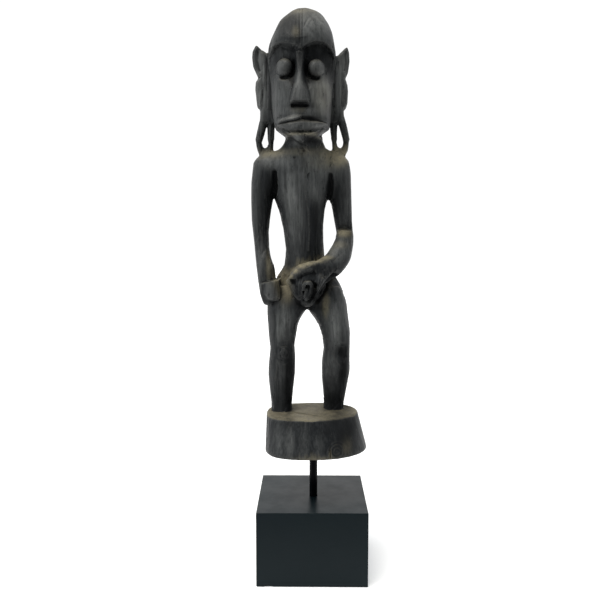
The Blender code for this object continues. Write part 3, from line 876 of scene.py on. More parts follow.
def one_skin():
    blank = finer_blank()
    write_points(blank, from_carver(make_room(to_carver(read_points(blank)))))
    bm = bmesh.new()
    for mesh in [blank, face_mesh, *hand_meshes]:
        bm.from_mesh(mesh)
    mesh = bpy.data.meshes.new("carved_figure")
    bm.to_mesh(mesh)
    bm.free()
    thing = link_object("carved_figure", mesh)
    skin = thing.modifiers.new("one skin", "REMESH")
    skin.mode = "VOXEL"
    skin.voxel_size = SKIN_VOXEL
    smooth = thing.modifiers.new("soften", "SMOOTH")
    smooth.factor = 0.5
    smooth.iterations = SKIN_EASE
    settle(thing)
    soften(thing.data, under_the_chin(to_carver(read_points(thing.data))), NECK_PASSES)
    return thing


figure = one_skin()
print("one skin:", len(figure.data.polygons), "faces")

# %% [markdown]
# ## Knife facets
#
# A carver takes the wood down with long flat strokes along the grain. Each stroke leaves a
# narrow plane, and the planes meet in faint ridges. Here each plane has a seed point on the
# skin, and every point is drawn most of the way to the closest of the few planes round it.
# Distances are shortened along the height, so that the planes come out tall and narrow.

# %% Knife facets
FACET_COUNT = 1500
FACET_STRETCH = 0.22
FACET_PULL = 0.75
FACET_LIMIT = 0.3
FACET_NEAREST = 4
SAME_SIDE = 0.5
NO_PLANE = 9.0
TOO_FAR = 8.0
FACE_PULL = 0.25


def knife_facets(places, facing, rng):
    seeds = rng.choice(len(places), FACET_COUNT, replace=False)
    tree = KDTree(FACET_COUNT)
    squashed = places * (1.0, 1.0, FACET_STRETCH)
    for i, seed in enumerate(seeds):
        tree.insert(squashed[seed], i)
    tree.balance()
    found = (tree.find_n(point, FACET_NEAREST) for point in squashed)
    nearest = np.array([[near[1] for near in group] for group in found])
    seed = seeds[nearest]
    same_side = (facing[:, None] * facing[seed]).sum(axis=2)
    away = ((places[seed] - places[:, None]) * facing[seed]).sum(axis=2)
    away = np.where(same_side > SAME_SIDE, away, NO_PLANE)
    closest = np.abs(away).argmin(axis=1)
    away = away[np.arange(len(places)), closest]
    away = np.where(away > TOO_FAR, 0.0, away)
    in_face = ease(places[:, 2], 284.0, 290.0) * (1.0 - ease(places[:, 2], 374.0, 380.0))
    in_face *= 1.0 - ease(places[:, 1], -24.0, -16.0)
    pull = (FACET_PULL + (FACE_PULL - FACET_PULL) * in_face) * (1.0 - on_eye(places))
    return np.clip(away * pull, -FACET_LIMIT, FACET_LIMIT)


print("knife planes to lay:", FACET_COUNT)

# %% [markdown]
# ## Single strokes
#
# Some cuts are easy to pick out: the parting down the forehead, the ridge down the chest, the
# flutes of the ears, the hollows of the armpits, the round of the left knee, the notch of the
# right one, and the long cuts down thighs and shins. Random marks could never place these, so
# each is one stroke, listed with half its width, how deep it goes, and the line that it
# follows in the front view. A negative depth leaves a ridge standing.

# %% Strokes
def circle(x, z, radius, count=12):
    turn = np.linspace(-math.pi / 2, 1.5 * math.pi, count + 1)
    return [(x + radius * math.cos(t), z + radius * math.sin(t)) for t in turn]


STROKES = [
    (0.7, 0.6, [(-11.6, 412), (-11.4, 395), (-12.0, 370)]),
    (0.7, 0.6, [(-14.6, 411), (-14.4, 398), (-13.8, 374)]),
    (0.8, 0.3, [(-17.4, 410), (-17.6, 396), (-17.2, 384)]),
    (0.9, 0.35, [(-20.6, 407), (-21.4, 396), (-21.2, 386)]),
    (1.0, 0.35, [(-24.6, 404), (-26.0, 395), (-26.0, 386)]),
    (0.9, 0.35, [(-29.0, 399), (-31.0, 390), (-31.5, 381)]),
    (1.2, 0.3, [(-36.0, 391), (-38.0, 382)]),
    (1.3, 0.2, [(2.0, 402), (3.5, 390), (3.0, 380)]),
    (1.0, 0.45, [(-44.6, 372), (-45.4, 345), (-44.8, 316)]),
    (0.9, 0.45, [(-48.4, 366), (-49.0, 345), (-48.6, 318)]),
    (0.9, 0.5, [(-52.2, 362), (-52.8, 345), (-52.4, 319)]),
    (3.0, 1.7, [(-57.6, 374), (-58.4, 366), (-56.2, 356)]),
    (0.9, 0.45, [(21.6, 368), (21.2, 345), (21.4, 318)]),
    (0.9, 0.45, [(25.0, 364), (24.9, 345), (25.2, 318)]),
    (1.1, 0.6, [(28.2, 360), (28.3, 345), (28.2, 320)]),
    (2.8, 1.6, [(31.8, 372), (32.6, 364), (31.4, 356)]),
    (1.2, 0.8, [(-56.4, 336), (-56.8, 322)]),
    (1.2, 0.8, [(31.6, 336), (31.4, 327)]),
    (1.5, -0.8, [(-9.8, 270), (-9.4, 250), (-8.6, 232), (-6.0, 212), (-4.8, 190), (-5.6, 172)]),
    (2.4, 0.6, [(-6.2, 262), (-5.8, 248), (-4.8, 232), (-1.8, 212), (-0.6, 192)]),
    (0.8, 0.35, [(-16.2, 258), (-16.0, 235), (-15.4, 205), (-15.6, 180), (-15.0, 168)]),
    (1.0, 0.4, [(-21.4, 254), (-21.8, 230), (-21.0, 206)]),
    (1.1, 0.4, [(-28.0, 250), (-27.4, 226), (-25.0, 198)]),
    (1.0, 0.45, [(1.2, 252), (2.6, 226), (3.0, 204), (2.4, 186)]),
    (1.0, 0.4, [(6.4, 244), (6.0, 222), (5.4, 204)]),
    (1.8, 2.8, [(-40.4, 252), (-39.6, 238), (-41.6, 226)]),
    (1.8, 2.8, [(17.4, 250), (17.2, 236), (16.0, 226)]),
    (2.2, 0.6, [(-12.0, 282), (-10.2, 270), (-9.0, 258)]),
    (1.0, 0.4, [(-52.0, 232), (-52.6, 206), (-51.0, 180)]),
    (1.0, 0.4, [(-57.0, 216), (-56.6, 190), (-54.0, 164)]),
    (1.0, 0.4, [(30.0, 242), (30.6, 222), (31.0, 202)]),
    (1.0, 0.35, [(35.4, 236), (35.8, 214), (35.4, 198)]),
    (1.2, 0.4, [(34.0, 182), (29.0, 170), (20.0, 162)]),
    (0.9, 0.5, [(9.0, 153.5), (11.6, 148.0)]),
    (0.9, 0.5, [(12.2, 153.8), (14.4, 148.6)]),
    (0.9, 0.5, [(15.2, 154.4), (17.0, 149.4)]),
    (1.7, 1.3, [(-24.2, 143.6), (-20.6, 141.4), (-18.2, 136.0)]),
    (1.0, 0.35, circle(-30.6, 66.4, 4.8)[1:-3]),
    (1.0, 0.25, circle(-30.8, 66.0, 7.6)[3:-3]),
    (1.0, 0.4, [(-38.4, 59.6), (-32.0, 56.6), (-25.0, 58.4)]),
    (2.1, 3.2, [(0.0, 138.0), (0.4, 131.0), (-1.8, 125.0)]),
    (0.9, 0.6, [(-12.2, 147.0), (-13.9, 139.0), (-13.7, 129.0)]),
    (0.9, 0.6, [(-15.2, 145.0), (-16.7, 138.0), (-16.4, 128.0)]),
    (3.0, 4.2, [(21.0, 146.5), (16.0, 141.0), (11.4, 134.0), (7.2, 127.0), (3.0, 120.0)]),
    (1.2, 0.7, [(23.0, 72.6), (28.0, 73.6), (33.0, 73.2)]),
    (3.0, 1.0, [(27.4, 69.0), (28.2, 62.0)]),
    (1.4, 1.0, [(33.6, 70.4), (34.0, 61.0)]),
    (1.2, 0.5, [(-40.0, 104), (-39.0, 88), (-38.0, 76)]),
    (1.2, 0.4, [(-28.0, 106), (-27.0, 92), (-27.0, 80)]),
    (1.2, 0.5, [(18.0, 104), (20.6, 88), (22.0, 76)]),
    (1.2, 0.4, [(29.0, 104), (30.0, 90), (30.0, 78)]),
    (1.8, 0.6, [(-27.0, 52), (-27.6, 30), (-28.0, 8)]),
    (1.2, 0.4, [(-37.0, 50), (-36.4, 30), (-36.6, 12)]),
    (1.8, 0.6, [(30.0, 52), (28.0, 30), (26.6, 10)]),
    (1.2, 0.4, [(20.0, 50), (18.6, 30), (17.8, 12)]),
]
print("single strokes to cut:", len(STROKES))

# %% [markdown]
# ## Cutting the strokes
#
# A real stroke is a groove with soft shoulders, deepest along its middle. A point's distance
# from the stroke's line, put through a bell curve, gives just that. Only wood that faces the
# viewer is cut, because the lines are drawn in the front view.

# %% Cutting the strokes
def to_line(x, z, stops):
    """Distance from each place to a line of stops in the front view."""
    nearest = np.full(len(x), 1e9)
    for (x0, z0), (x1, z1) in zip(stops, stops[1:]):
        run = (x1 - x0) ** 2 + (z1 - z0) ** 2
        t = np.clip(((x - x0) * (x1 - x0) + (z - z0) * (z1 - z0)) / run, 0.0, 1.0)
        nearest = np.minimum(nearest, np.hypot(x - x0 - t * (x1 - x0), z - z0 - t * (z1 - z0)))
    return nearest


def strokes(places, facing):
    """How far each point goes in along its normal, for all strokes together."""
    x, _, z = places.T
    to_viewer = ease(-facing[:, 1], 0.15, 0.5)
    moved = np.zeros(len(places))
    for half, depth, stops in STROKES:
        off = to_line(x, z, stops)
        moved -= depth * np.exp(-((off / half) ** 2)) * to_viewer
    return moved


print("deepest stroke, mm:", max(depth for _, depth, _ in STROKES))

# %% [markdown]
# ## Ledges
#
# Two ledges cross the arms: the cuff over the left hand and the fold of the right elbow. The
# arm is cut back just above each, so that the wood below it catches the light on its top.

# %% Ledges
LEDGES = [
    (-56.0, -33.5, -44.0, 141.0, 0.26, 0.5, 1.8, 0.0),
    (20.0, 44.0, 31.0, 191.0, 0.16, 1.3, 1.5, 1.1),
]
LEDGE_RUN = 13.0


def ledges(places, facing):
    """Each ledge: its two ends, middle, height there, slope, half its own height, cut and bulge."""
    x, _, z = places.T
    to_viewer = ease(-facing[:, 1], 0.0, 0.8)
    moved = np.zeros(len(places))
    for low, high, middle, height, slope, half, cut, bulge in LEDGES:
        off = z - height - slope * (x - middle)
        inside = ease(x, low, low + 3.0) * (1.0 - ease(x, high - 3.0, high)) * to_viewer
        above = ease(off, -half, half) * (1.0 - ease(off, half, LEDGE_RUN))
        below = (1.0 - ease(off, -half, half)) * ease(off, -LEDGE_RUN, -half)
        moved += inside * (bulge * below - cut * above)
    return moved


print("ledges to cut:", len(LEDGES))

# %% [markdown]
# ## The drum's hewn side
#
# The drum was split and hewn, not turned. Its side is a row of broad upright planes, with a
# knot low on the right whose rings stand up, and a short crack beside it.

# %% Drum side
HEWN_PLANES = 31
HEWN_DEPTH = 0.24
KNOT_PLACE = (23.4, -31.0)
KNOT_RINGS = 3.1
KNOT_REACH = 12.5
KNOT_HEIGHT = 0.22
CRACK = [(16.8, -29.0), (17.2, -33.0), (16.6, -38.3)]
CRACK_DEPTH = 1.6
CRACK_HALF = 0.7


def drum_side(places, facing):
    x, y, z = places.T
    on_side = ease(-z, 0.8, 2.0) * ease(np.hypot(facing[:, 0], facing[:, 1]), 0.6, 0.9)
    angle = np.arctan2(y, x)
    wander = 0.14 * np.sin(3.0 * angle + 0.4) + 0.08 * np.sin(7.0 * angle)
    wander = wander + 0.03 * np.sin(z / 6.0 + 9.0 * angle)
    turn = (angle + wander) * HEWN_PLANES / (2 * math.pi)
    chip = np.abs(turn - np.floor(turn) - 0.5) * 2.0
    hewn = HEWN_DEPTH * (0.45 - (1.0 - chip) ** 2 * 0.75)
    off = np.hypot(x - KNOT_PLACE[0], z - KNOT_PLACE[1])
    in_front = ease(-y, 8.0, 14.0)
    waves = KNOT_HEIGHT * np.cos(off * 2 * math.pi / KNOT_RINGS)
    rings = waves * (1.0 - ease(off, 8.0, KNOT_REACH)) * in_front
    crack = -CRACK_DEPTH * np.exp(-((to_line(x, z, CRACK) / CRACK_HALF) ** 2)) * in_front
    return on_side * (hewn + rings + crack)


print("planes to hew round the drum:", HEWN_PLANES)

# %% [markdown]
# ## Nicks and chips
#
# Between the planes the knife's corner has left short nicks along the grain, and small flakes
# have come away. Each is a narrow dent round a short line, at a place drawn at random.

# %% Nicks and chips
NICK_COUNT = 700
NICK_LENGTH = (3.0, 17.0)
NICK_HALF = (0.30, 0.75)
NICK_DEPTH = (0.08, 0.28)
NICK_LEAN = 0.14
CHIP_SHARE = 0.35
CHIP_SHORTER = 0.2
CHIP_WIDER = 1.8


def nicks(places, facing, rng):
    order = np.argsort(places[:, 2])
    heights = places[order, 2]
    moved = np.zeros(len(places))
    for seed in rng.choice(len(places), NICK_COUNT, replace=False):
        chip = rng.random() < CHIP_SHARE
        length = rng.uniform(*NICK_LENGTH) * (CHIP_SHORTER if chip else 1.0)
        half = rng.uniform(*NICK_HALF) * (CHIP_WIDER if chip else 1.0)
        depth = rng.uniform(*NICK_DEPTH)
        aside = np.cross(facing[seed], (0.0, 0.0, 1.0)) * rng.normal(0.0, NICK_LEAN)
        run = aside + (0.0, 0.0, 1.0)
        run /= np.linalg.norm(run)
        start = places[seed]
        low, high = np.searchsorted(heights, (start[2] - 2.0, start[2] + length + 2.0))
        near = order[low:high]
        off = places[near] - start
        step = np.clip(off @ run, 0.0, length)
        gap = np.linalg.norm(off - step[:, None] * run, axis=1)
        same_side = facing[near] @ facing[seed] > 0.4
        dent = depth * np.exp(-((gap / half) ** 2)) * same_side
        moved[near] -= dent * (1.0 - 0.7 * step / length)
    return np.maximum(moved, -NICK_DEPTH[1]) * (1.0 - on_eye(places))


print("nicks and chips to cut:", NICK_COUNT)

# %% [markdown]
# ## Carving it all
#
# The moves are added up and made along the skin's own direction. Where planes cross on the
# forehead they leave hard little steps, which a few rounds of smoothing take down. Knife work
# takes wood off, so at the end the outermost points are eased back inside the frame's box.

# %% Carve
SEED = 11
SHAVING = 0.12
CROWN_PASSES = 4
BOX_EASE = 0.00025


def carve(thing):
    rng = np.random.default_rng(SEED)
    mesh = thing.data
    places = to_carver(read_points(mesh))
    facing = read_points(mesh, "normal")
    moved = knife_facets(places, facing, rng)
    moved += strokes(places, facing) + ledges(places, facing) + drum_side(places, facing)
    moved += nicks(places, facing, rng)
    places += facing * (moved - SHAVING)[:, None]
    write_points(mesh, from_carver(places))
    print("deepest cut and highest ridge, mm:", round(moved.min(), 2), round(moved.max(), 2))


def rough_crown(places):
    """The forehead on both sides of its parting, where crossing planes leave hard little steps."""
    x, _, z = places.T
    return (ease(-x, 19.0, 23.0) + ease(x, -10.0, -7.0)) * ease(z, 377.0, 380.0)


def keep_in_box(mesh):
    """Eases the outermost points back, so that the knife work never stands past the frame's box."""
    low, high = (np.array(corner) for corner in frame_box)
    places = read_points(mesh)
    places = high - BOX_EASE * np.logaddexp(0.0, (high - places) / BOX_EASE)
    places = low + BOX_EASE * np.logaddexp(0.0, (places - low) / BOX_EASE)
    write_points(mesh, places)
    print("top of the carving, metres:", round(float(places[:, 2].max()), 5))


carve(figure)
soften(figure.data, rough_crown(to_carver(read_points(figure.data))), CROWN_PASSES)
keep_in_box(figure.data)

# %% [markdown]
# ## Where stain pools, shade is painted and hands rub
#
# Stain pools in hollows and corners, where the darkening is also painted shade, brown dust
# lies on level wood, and the edges that hands touch are rubbed to a shine. These follow from
# the shape. A copy of the points is smoothed, and a point that lies below the smoothed skin is
# in a hollow, while one above it is on an edge. The two masks are kept with the mesh for the
# wood's material to read.

# %% Masks
HOLLOW_PASSES = 14
HOLLOW_DEPTH = 0.45
BROAD_PASSES = 70
BROAD_DEPTH = 2.2


def keep_mask(mesh, name, values):
    layer = mesh.attributes.new(name, "FLOAT", "POINT")
    layer.data.foreach_set("value", values.astype(np.float32))


def add_masks(mesh):
    ends = edge_ends(mesh)
    places = to_carver(read_points(mesh))
    facing = read_points(mesh, "normal")
    smoothed = places
    for i in range(BROAD_PASSES):
        smoothed = neighbour_mean(smoothed, ends)
        if i + 1 == HOLLOW_PASSES:
            fine = ((smoothed - places) * facing).sum(axis=1)
    broad = ((smoothed - places) * facing).sum(axis=1)
    keep_mask(mesh, "hollow", np.clip(0.5 + fine / HOLLOW_DEPTH / 2, 0.0, 1.0))
    keep_mask(mesh, "corner", np.clip(0.5 + broad / BROAD_DEPTH / 2, 0.0, 1.0))
    print("hollow, middle of the range:", round(float(np.median(fine)), 3), "mm")


add_masks(figure.data)

# %% [markdown]
# ## Grey bloom and painted light
#
# Years of dusting have left the wood uneven. A grey bloom lies where a cloth passes over the
# forehead, cheeks, chest and thighs, and the same patches paint the light on the crown's right
# side, the top of the upper lip, the chin's rim and the chest's top. Random noise can't know
# those places, so the patches are given as soft ovals in the front view: the middle, half the
# width and height, and how strong it is.

# %% Bloom and painted light patches
# Grey bloom, and painted light on lit places such as the crown's right, the lips and the chin.
BLOOM_AND_LIT_PATCHES = [
    (2.4, 398, 15, 24, 1.0),
    (-6, 410, 20, 6, 0.5),
    (-27, 398, 11, 18, 0.1),
    (-42, 385, 6, 16, 0.4),
    (7, 328, 13, 22, 1.0),
    (-33, 326, 11, 22, 0.42),
    (2.2, 351.6, 8, 8, 0.85),
    (-31, 353.5, 7, 8, 0.6),
    (-31, 368, 9, 5, 0.3),
    (-15, 332, 5, 18, 0.75),
    (-13, 308, 24, 4, 0.6),
    (-24, 300.8, 12, 2, 1.0),
    (-16, 303.5, 5, 2, 1.0),
    (-18, 293.5, 16, 3, 0.75),
    (2, 294.5, 12, 3, 0.8),
    (-9, 286.9, 22, 1.6, 1.0),
    (-17, 283, 4, 4, 1.0),
    (-22, 238, 11, 26, 0.82),
    (-42, 264, 16, 9, 0.7),
    (-12, 266, 30, 8, 0.7),
    (24, 270, 13, 7, 1.0),
    (9, 259, 20, 14, 1.0),
    (3, 240, 10, 18, 0.8),
    (-19, 195, 10, 32, 0.42),
    (8, 205, 5, 26, 0.25),
    (24, 172, 15, 12, 0.62),
    (33, 183, 8, 10, 0.5),
    (-32, 100, 10, 26, 0.85),
    (24, 98, 10, 28, 1.0),
    (-35, 40, 7, 20, 0.35),
    (18, 44, 7, 20, 0.5),
    (-54, 345, 8, 38, 1.0),
    (27, 345, 8, 36, 1.0),
    (33, 225, 6, 30, 0.4),
    (-59, 222, 4.5, 40, 0.18),
    (-54, 160, 5, 26, 0.4),
    (-46, 131, 6, 9, 0.6),
    (-6, 138, 3, 4, 0.5),
    (-36, -20, 5, 20, 0.35),
    (-24, -22, 5, 18, 0.45),
    (-10, -22, 6, 18, 0.25),
    (6, -26, 5, 14, 0.2),
]
print("patches of grey bloom:", len(BLOOM_AND_LIT_PATCHES))

# %% [markdown]
# ## Brown dust
#
# Brown dust stays where a cloth doesn't reach, between the hands and on the shoulders, and
# level wood gathers a little everywhere. These patches say where it is thick. On the chest's
# top and the fist's top ridge they also paint the light that falls there.

# %% Dust patches
# Brown dust, and painted light on the chest's top and along the fist's top ridge.
BROWN = [
    (-31, 137, 6.6, 16, 0.85),
    (-27, 126, 5, 8, 0.6),
    (-38, 146, 4, 8, 0.7),
    (23, 271, 15, 10, 1.0),
    (24, 269, 12, 8, 1.0),
    (-44, 272, 14, 5, 0.6),
    (-12, 272, 24, 4, 0.35),
    (-46, 158, 3, 16, 0.5),
    (31, 190, 8, 4, 1.0),
    (26, 178, 9, 4, 0.35),
    (12.5, 116, 3.2, 12, 0.8),
    (12, 165, 7, 2, 0.9),
    (3, 162, 6, 2, 1.0),
    (-6, 159.5, 6, 2.2, 1.0),
    (-13, 156.6, 5, 2.2, 1.0),
    (-19, 152, 4, 2.4, 1.0),
    (-24, 146.5, 3, 2.6, 0.8),
    (-14, 309.5, 7, 3, 0.3),
    (-10, 287, 22, 1.8, 0.6),
    (-12, 411, 16, 5, 0.5),
    (10, 262, 18, 8, 0.3),
    (9, 325, 10, 18, 0.2),
    (-18, 386, 4, 6, 0.35),
    (16.6, -33.5, 1.3, 4.5, 0.5),
    (2, -37, 20, 2.2, 0.35),
    (34, -27, 5, 8, 0.25),
]
print("patches of brown dust:", len(BROWN))

# %% [markdown]
# ## Painted shade
#
# The figure is painted blackest beside the eyes, under the arms and inside the fist, as painted
# shade. Less light would darken the whole figure, so these places are given as patches too.

# %% Painted shade patches
# Painted shade: dark patches where shadows fall and on sides turned from the light.
SHADE_PATCHES = [
    (-21.5, 346, 2.8, 8, 1.0),
    (-25.5, 341, 4.5, 3, 0.8),
    (-8, 348, 3.6, 10, 1.0),
    (-3, 339.8, 7.2, 4.8, 1.0),
    (15, 358, 6, 14, 0.85),
    (-2, 367, 6, 7, 0.8),
    (-24, 394, 12, 14, 0.22),
    (-13.5, 314.0, 9.6, 2.8, 1.0),
    (-3, 301.6, 10, 2.2, 0.9),
    (-2, 282.5, 8, 2.6, 0.9),
    (-43, 232, 3.5, 12, 0.8),
    (-40, 216, 3, 10, 0.6),
    (17, 233, 4, 12, 0.9),
    (1, 203, 4.0, 20, 0.6),
    (8, 204, 6, 42, 0.1),
    (-46.5, 220, 5, 28, 0.9),
    (-55, 208, 6, 36, 0.42),
    (22, 222, 4.5, 26, 0.8),
    (31, 222, 9, 26, 0.42),
    (38, 200, 4, 14, 0.6),
    (21, 146, 5, 3.6, 1.0),
    (16, 141, 5, 4.6, 1.0),
    (11.2, 134.7, 4.8, 5.4, 1.0),
    (7.4, 128, 4.4, 5, 1.0),
    (3.4, 121.5, 5, 4, 1.0),
    (11, 151.5, 9, 3.0, 0.55),
    (-0.6, 130.5, 3.0, 9.5, 1.0),
    (-3.5, 124.8, 3, 3, 1.0),
    (-15.5, 130, 3, 8, 0.5),
    (-21.4, 142.0, 3.6, 2.0, 0.6),
    (-19.2, 138.5, 1.8, 3.6, 0.6),
    (-8, 128, 8, 10, 0.35),
    (-14, 116, 6, 5, 1.0),
    (-19, 130, 2.8, 9, 0.5),
    (-2, 112, 10, 4.5, 1.0),
    (-54, 124, 4, 6, 0.8),
    (-44, 119.5, 7, 2, 0.6),
    (-25.8, 42, 5.5, 32, 1.0),
    (-25, 12, 5, 16, 1.0),
    (23, 9, 12, 11, 1.0),
    (31, 36, 4.5, 22, 1.0),
    (32, 50, 4.5, 24, 0.65),
    (28, 66, 6.5, 7, 0.95),
    (33, 66, 2, 8, 0.7),
    (-36, 18, 12, 24, 0.4),
    (20, 18, 12, 26, 0.4),
    (37, -11, 6, 8, 1.0),
    (34, -12, 12, 14, 0.7),
    (30, -24, 12, 12, 0.4),
    (14, -10, 9, 9, 0.3),
    (-51, 290, 3, 14, 0.5),
    (24, 300, 4, 14, 0.6),
    (18, 305, 3, 18, 0.6),
]
print("patches of black:", len(SHADE_PATCHES))

# %% [markdown]
# ## Laying the patches
#
# The patches end softly and lie on wood that is level or faces the viewer. Each kind becomes
# one mask on the mesh, which is quicker to render than forty ovals in a material. The painted
# shade under the brow and the dust on the drum's top follow the shape, so they are worked out
# here.

# %% Laying the patches
PATCH_EDGE = 1.3
BROW_SHADE = 0.42
BROW_SHADE_RIGHT = 0.40
DRUM_TOP_DUST = 0.66


def brow_shade(places, facing):
    """Painted shade right under the brow, far more of it on the right."""
    x, _, z = places.T
    below = along(BROW, x) - z
    under = ease(below, 0.2, 1.6) * (1.0 - ease(below, 10.0, 26.0))
    under = under * ease(-facing[:, 1], -0.3, 0.1)
    side = BROW_SHADE + BROW_SHADE_RIGHT * ease(x, -13.0, -8.0)
    within = ease(x, -46.0, -42.0) * (1.0 - ease(x, 19.0, 22.0))
    return under * side * within * (1.0 - 0.8 * on_eye(places))


def patches_mask(places, facing, patches, turned_from, turned_to):
    x, _, z = places.T
    to_viewer = ease(-facing[:, 1], turned_from, turned_to)
    to_viewer = np.maximum(to_viewer, ease(facing[:, 2], 0.35, 0.75))
    clear = np.ones(len(places))
    for middle_x, middle_z, wide, tall, amount in patches:
        off = ((x - middle_x) / wide) ** 2 + ((z - middle_z) / tall) ** 2
        clear *= 1.0 - amount * np.exp(-(off**PATCH_EDGE)) * to_viewer
    return 1.0 - clear


def add_patina_and_painted_light(mesh):
    places = to_carver(read_points(mesh))
    facing = read_points(mesh, "normal")
    # Grey bloom, which also paints light on lit places.
    keep_mask(mesh, "bloom", patches_mask(places, facing, BLOOM_AND_LIT_PATCHES, -0.1, 0.5))
    drum_top = DRUM_TOP_DUST * ease(facing[:, 2], 0.5, 0.9) * (1.0 - ease(places[:, 2], 4.0, 10.0))
    brown = patches_mask(places, facing, BROWN, -0.1, 0.5)
    keep_mask(mesh, "brown", np.maximum(brown, drum_top))
    # Painted shade: the dark patches and the shade under the brow.
    black = patches_mask(places, facing, SHADE_PATCHES, -0.25, 0.1)
    keep_mask(mesh, "black", np.maximum(black, brow_shade(places, facing)))


add_patina_and_painted_light(figure.data)
print("masks on the mesh:", [mask.name for mask in figure.data.attributes if mask.data_type == "FLOAT"])

# %% [markdown]
# ## Fewer faces
#
# The even skin has far more faces than its flat parts need. Decimation joins them where the
# skin is flat and keeps them where a cut is sharp, and the masks are carried over. A remesh can
# also leave a tiny closed shell inside a fold. Only the one large shell is kept.

# %% Fewer faces
MOST_FACES = 188000


def thin_out(thing):
    thing.data.calc_loop_triangles()
    step = thing.modifiers.new("fewer faces", "DECIMATE")
    step.ratio = min(1.0, MOST_FACES / len(thing.data.loop_triangles))
    settle(thing)
    thing.data.shade_smooth()
    print("carved figure:", len(thing.data.polygons), "faces")


def keep_largest_shell(thing):
    bm = bmesh.new()
    bm.from_mesh(thing.data)
    left = set(bm.verts)
    shells = []
    while left:
        shell = [left.pop()]
        for vert in shell:
            for edge in vert.link_edges:
                other = edge.other_vert(vert)
                if other in left:
                    left.remove(other)
                    shell.append(other)
        shells.append(shell)
    shells.sort(key=len)
    loose = [vert for shell in shells[:-1] for vert in shell]
    bmesh.ops.delete(bm, geom=loose, context="VERTS")
    bm.to_mesh(thing.data)
    bm.free()
    print("small shells taken out:", len(shells) - 1, "with", len(loose), "points")


thin_out(figure)
keep_largest_shell(figure)

# %% [markdown]
# ## Tools for the finishes
#
# All three finishes are built from the same few nodes: a noise laid in the object's own space,
# a range mapped to another, a sum or a product, a blend of two colours, and a bump. Short
# helpers for them keep each finish readable as a recipe, where a picture of the wood would
# show its edges and could not follow the carving.

# %% Node helpers
def node(tree, kind, **settings):
    made = tree.nodes.new(kind)
    for name, value in settings.items():
        setattr(made, name, value)
    return made


def noise(tree, stretch, scale, detail, rough):
    """A noise in object space. A stretch below 1 draws it out along that axis."""
    coords = node(tree, "ShaderNodeTexCoord")
    mapping = node(tree, "ShaderNodeMapping")
    mapping.inputs["Scale"].default_value = stretch
    tree.links.new(coords.outputs["Object"], mapping.inputs["Vector"])
    made = node(tree, "ShaderNodeTexNoise")
    made.inputs["Scale"].default_value = scale
    made.inputs["Detail"].default_value = detail
    made.inputs["Roughness"].default_value = rough
    tree.links.new(mapping.outputs["Vector"], made.inputs["Vector"])
    return made.outputs["Fac"]


def spread(tree, source, low, high, to_low=0.0, to_high=1.0):
    """Maps a range of a value to another, clamped at both ends."""
    made = node(tree, "ShaderNodeMapRange")
    made.interpolation_type = "SMOOTHSTEP"
    made.inputs["From Min"].default_value = low
    made.inputs["From Max"].default_value = high
    made.inputs["To Min"].default_value = to_low
    made.inputs["To Max"].default_value = to_high
    tree.links.new(source, made.inputs["Value"])
    return made.outputs["Result"]


def sums(tree, operation, first, second):
    made = node(tree, "ShaderNodeMath", operation=operation)
    for socket, value in zip(made.inputs, (first, second)):
        if isinstance(value, (int, float)):
            socket.default_value = value
        else:
            tree.links.new(value, socket)
    return made.outputs["Value"]


def blend_colour(tree, share, first, second, way="MIX"):
    made = node(tree, "ShaderNodeMix", data_type="RGBA", blend_type=way)
    tree.links.new(share, made.inputs["Factor"])
    for socket, value in ((made.inputs[6], first), (made.inputs[7], second)):
        if isinstance(value, tuple):
            socket.default_value = (*value, 1.0)
        else:
            tree.links.new(value, socket)
    return made.outputs[2]


def bump(tree, height, distance, strength, before=None):
    made = node(tree, "ShaderNodeBump")
    made.inputs["Distance"].default_value = distance
    made.inputs["Strength"].default_value = strength
    tree.links.new(height, made.inputs["Height"])
    if before:
        tree.links.new(before, made.inputs["Normal"])
    return made.outputs["Normal"]
print("node helpers:", ", ".join(tool.__name__ for tool in (noise, spread, sums, blend_colour, bump)))

# %% [markdown]
# ## Dark stained wood
#
# The wood is stained nearly black and rubbed. Its grain runs up the figure, so every noise but
# the grit is stretched along the height. Fine grain and pores are bump, and broad streaks
# change the tone. The masks bring in the grey bloom with its painted light, the brown dust and
# the painted shade, level wood gathers dust, rubbed edges are lighter, and stain pools in the
# hollows and corners, where it is dull and the darkening is also painted shade.

# %% Wood material
STAIN = (0.0088, 0.0100, 0.0112)
STAIN_LIGHT = (0.0230, 0.0248, 0.0265)
# Grey bloom, also used as painted light on lit places.
BLOOM_AND_LIGHT_TONE = (0.182, 0.186, 0.180)
STAIN_WORN = (0.080, 0.080, 0.076)
# Pooled stain, and painted shade in corners and in the dark patches.
POOLED_STAIN_AND_SHADE = (0.0022, 0.0026, 0.0030)
DUST = (0.280, 0.243, 0.158)
WOOD_IOR = 1.28
STREAKS = ((1.0, 1.0, 0.05), 620.0, 4.0, 0.65)
BANDS = ((1.0, 1.0, 0.08), 190.0, 4.0, 0.6)
FIBRES = ((1.0, 1.0, 0.045), 1500.0, 3.0, 0.6)
PATCHES = ((1.0, 1.0, 0.4), 90.0, 5.0, 0.6)
FLECKS = ((1.0, 1.0, 0.4), 330.0, 5.0, 0.65)
GRIT = ((1.0, 1.0, 1.0), 700.0, 3.0, 0.6)


def mask(tree, name):
    return node(tree, "ShaderNodeAttribute", attribute_name=name).outputs["Fac"]


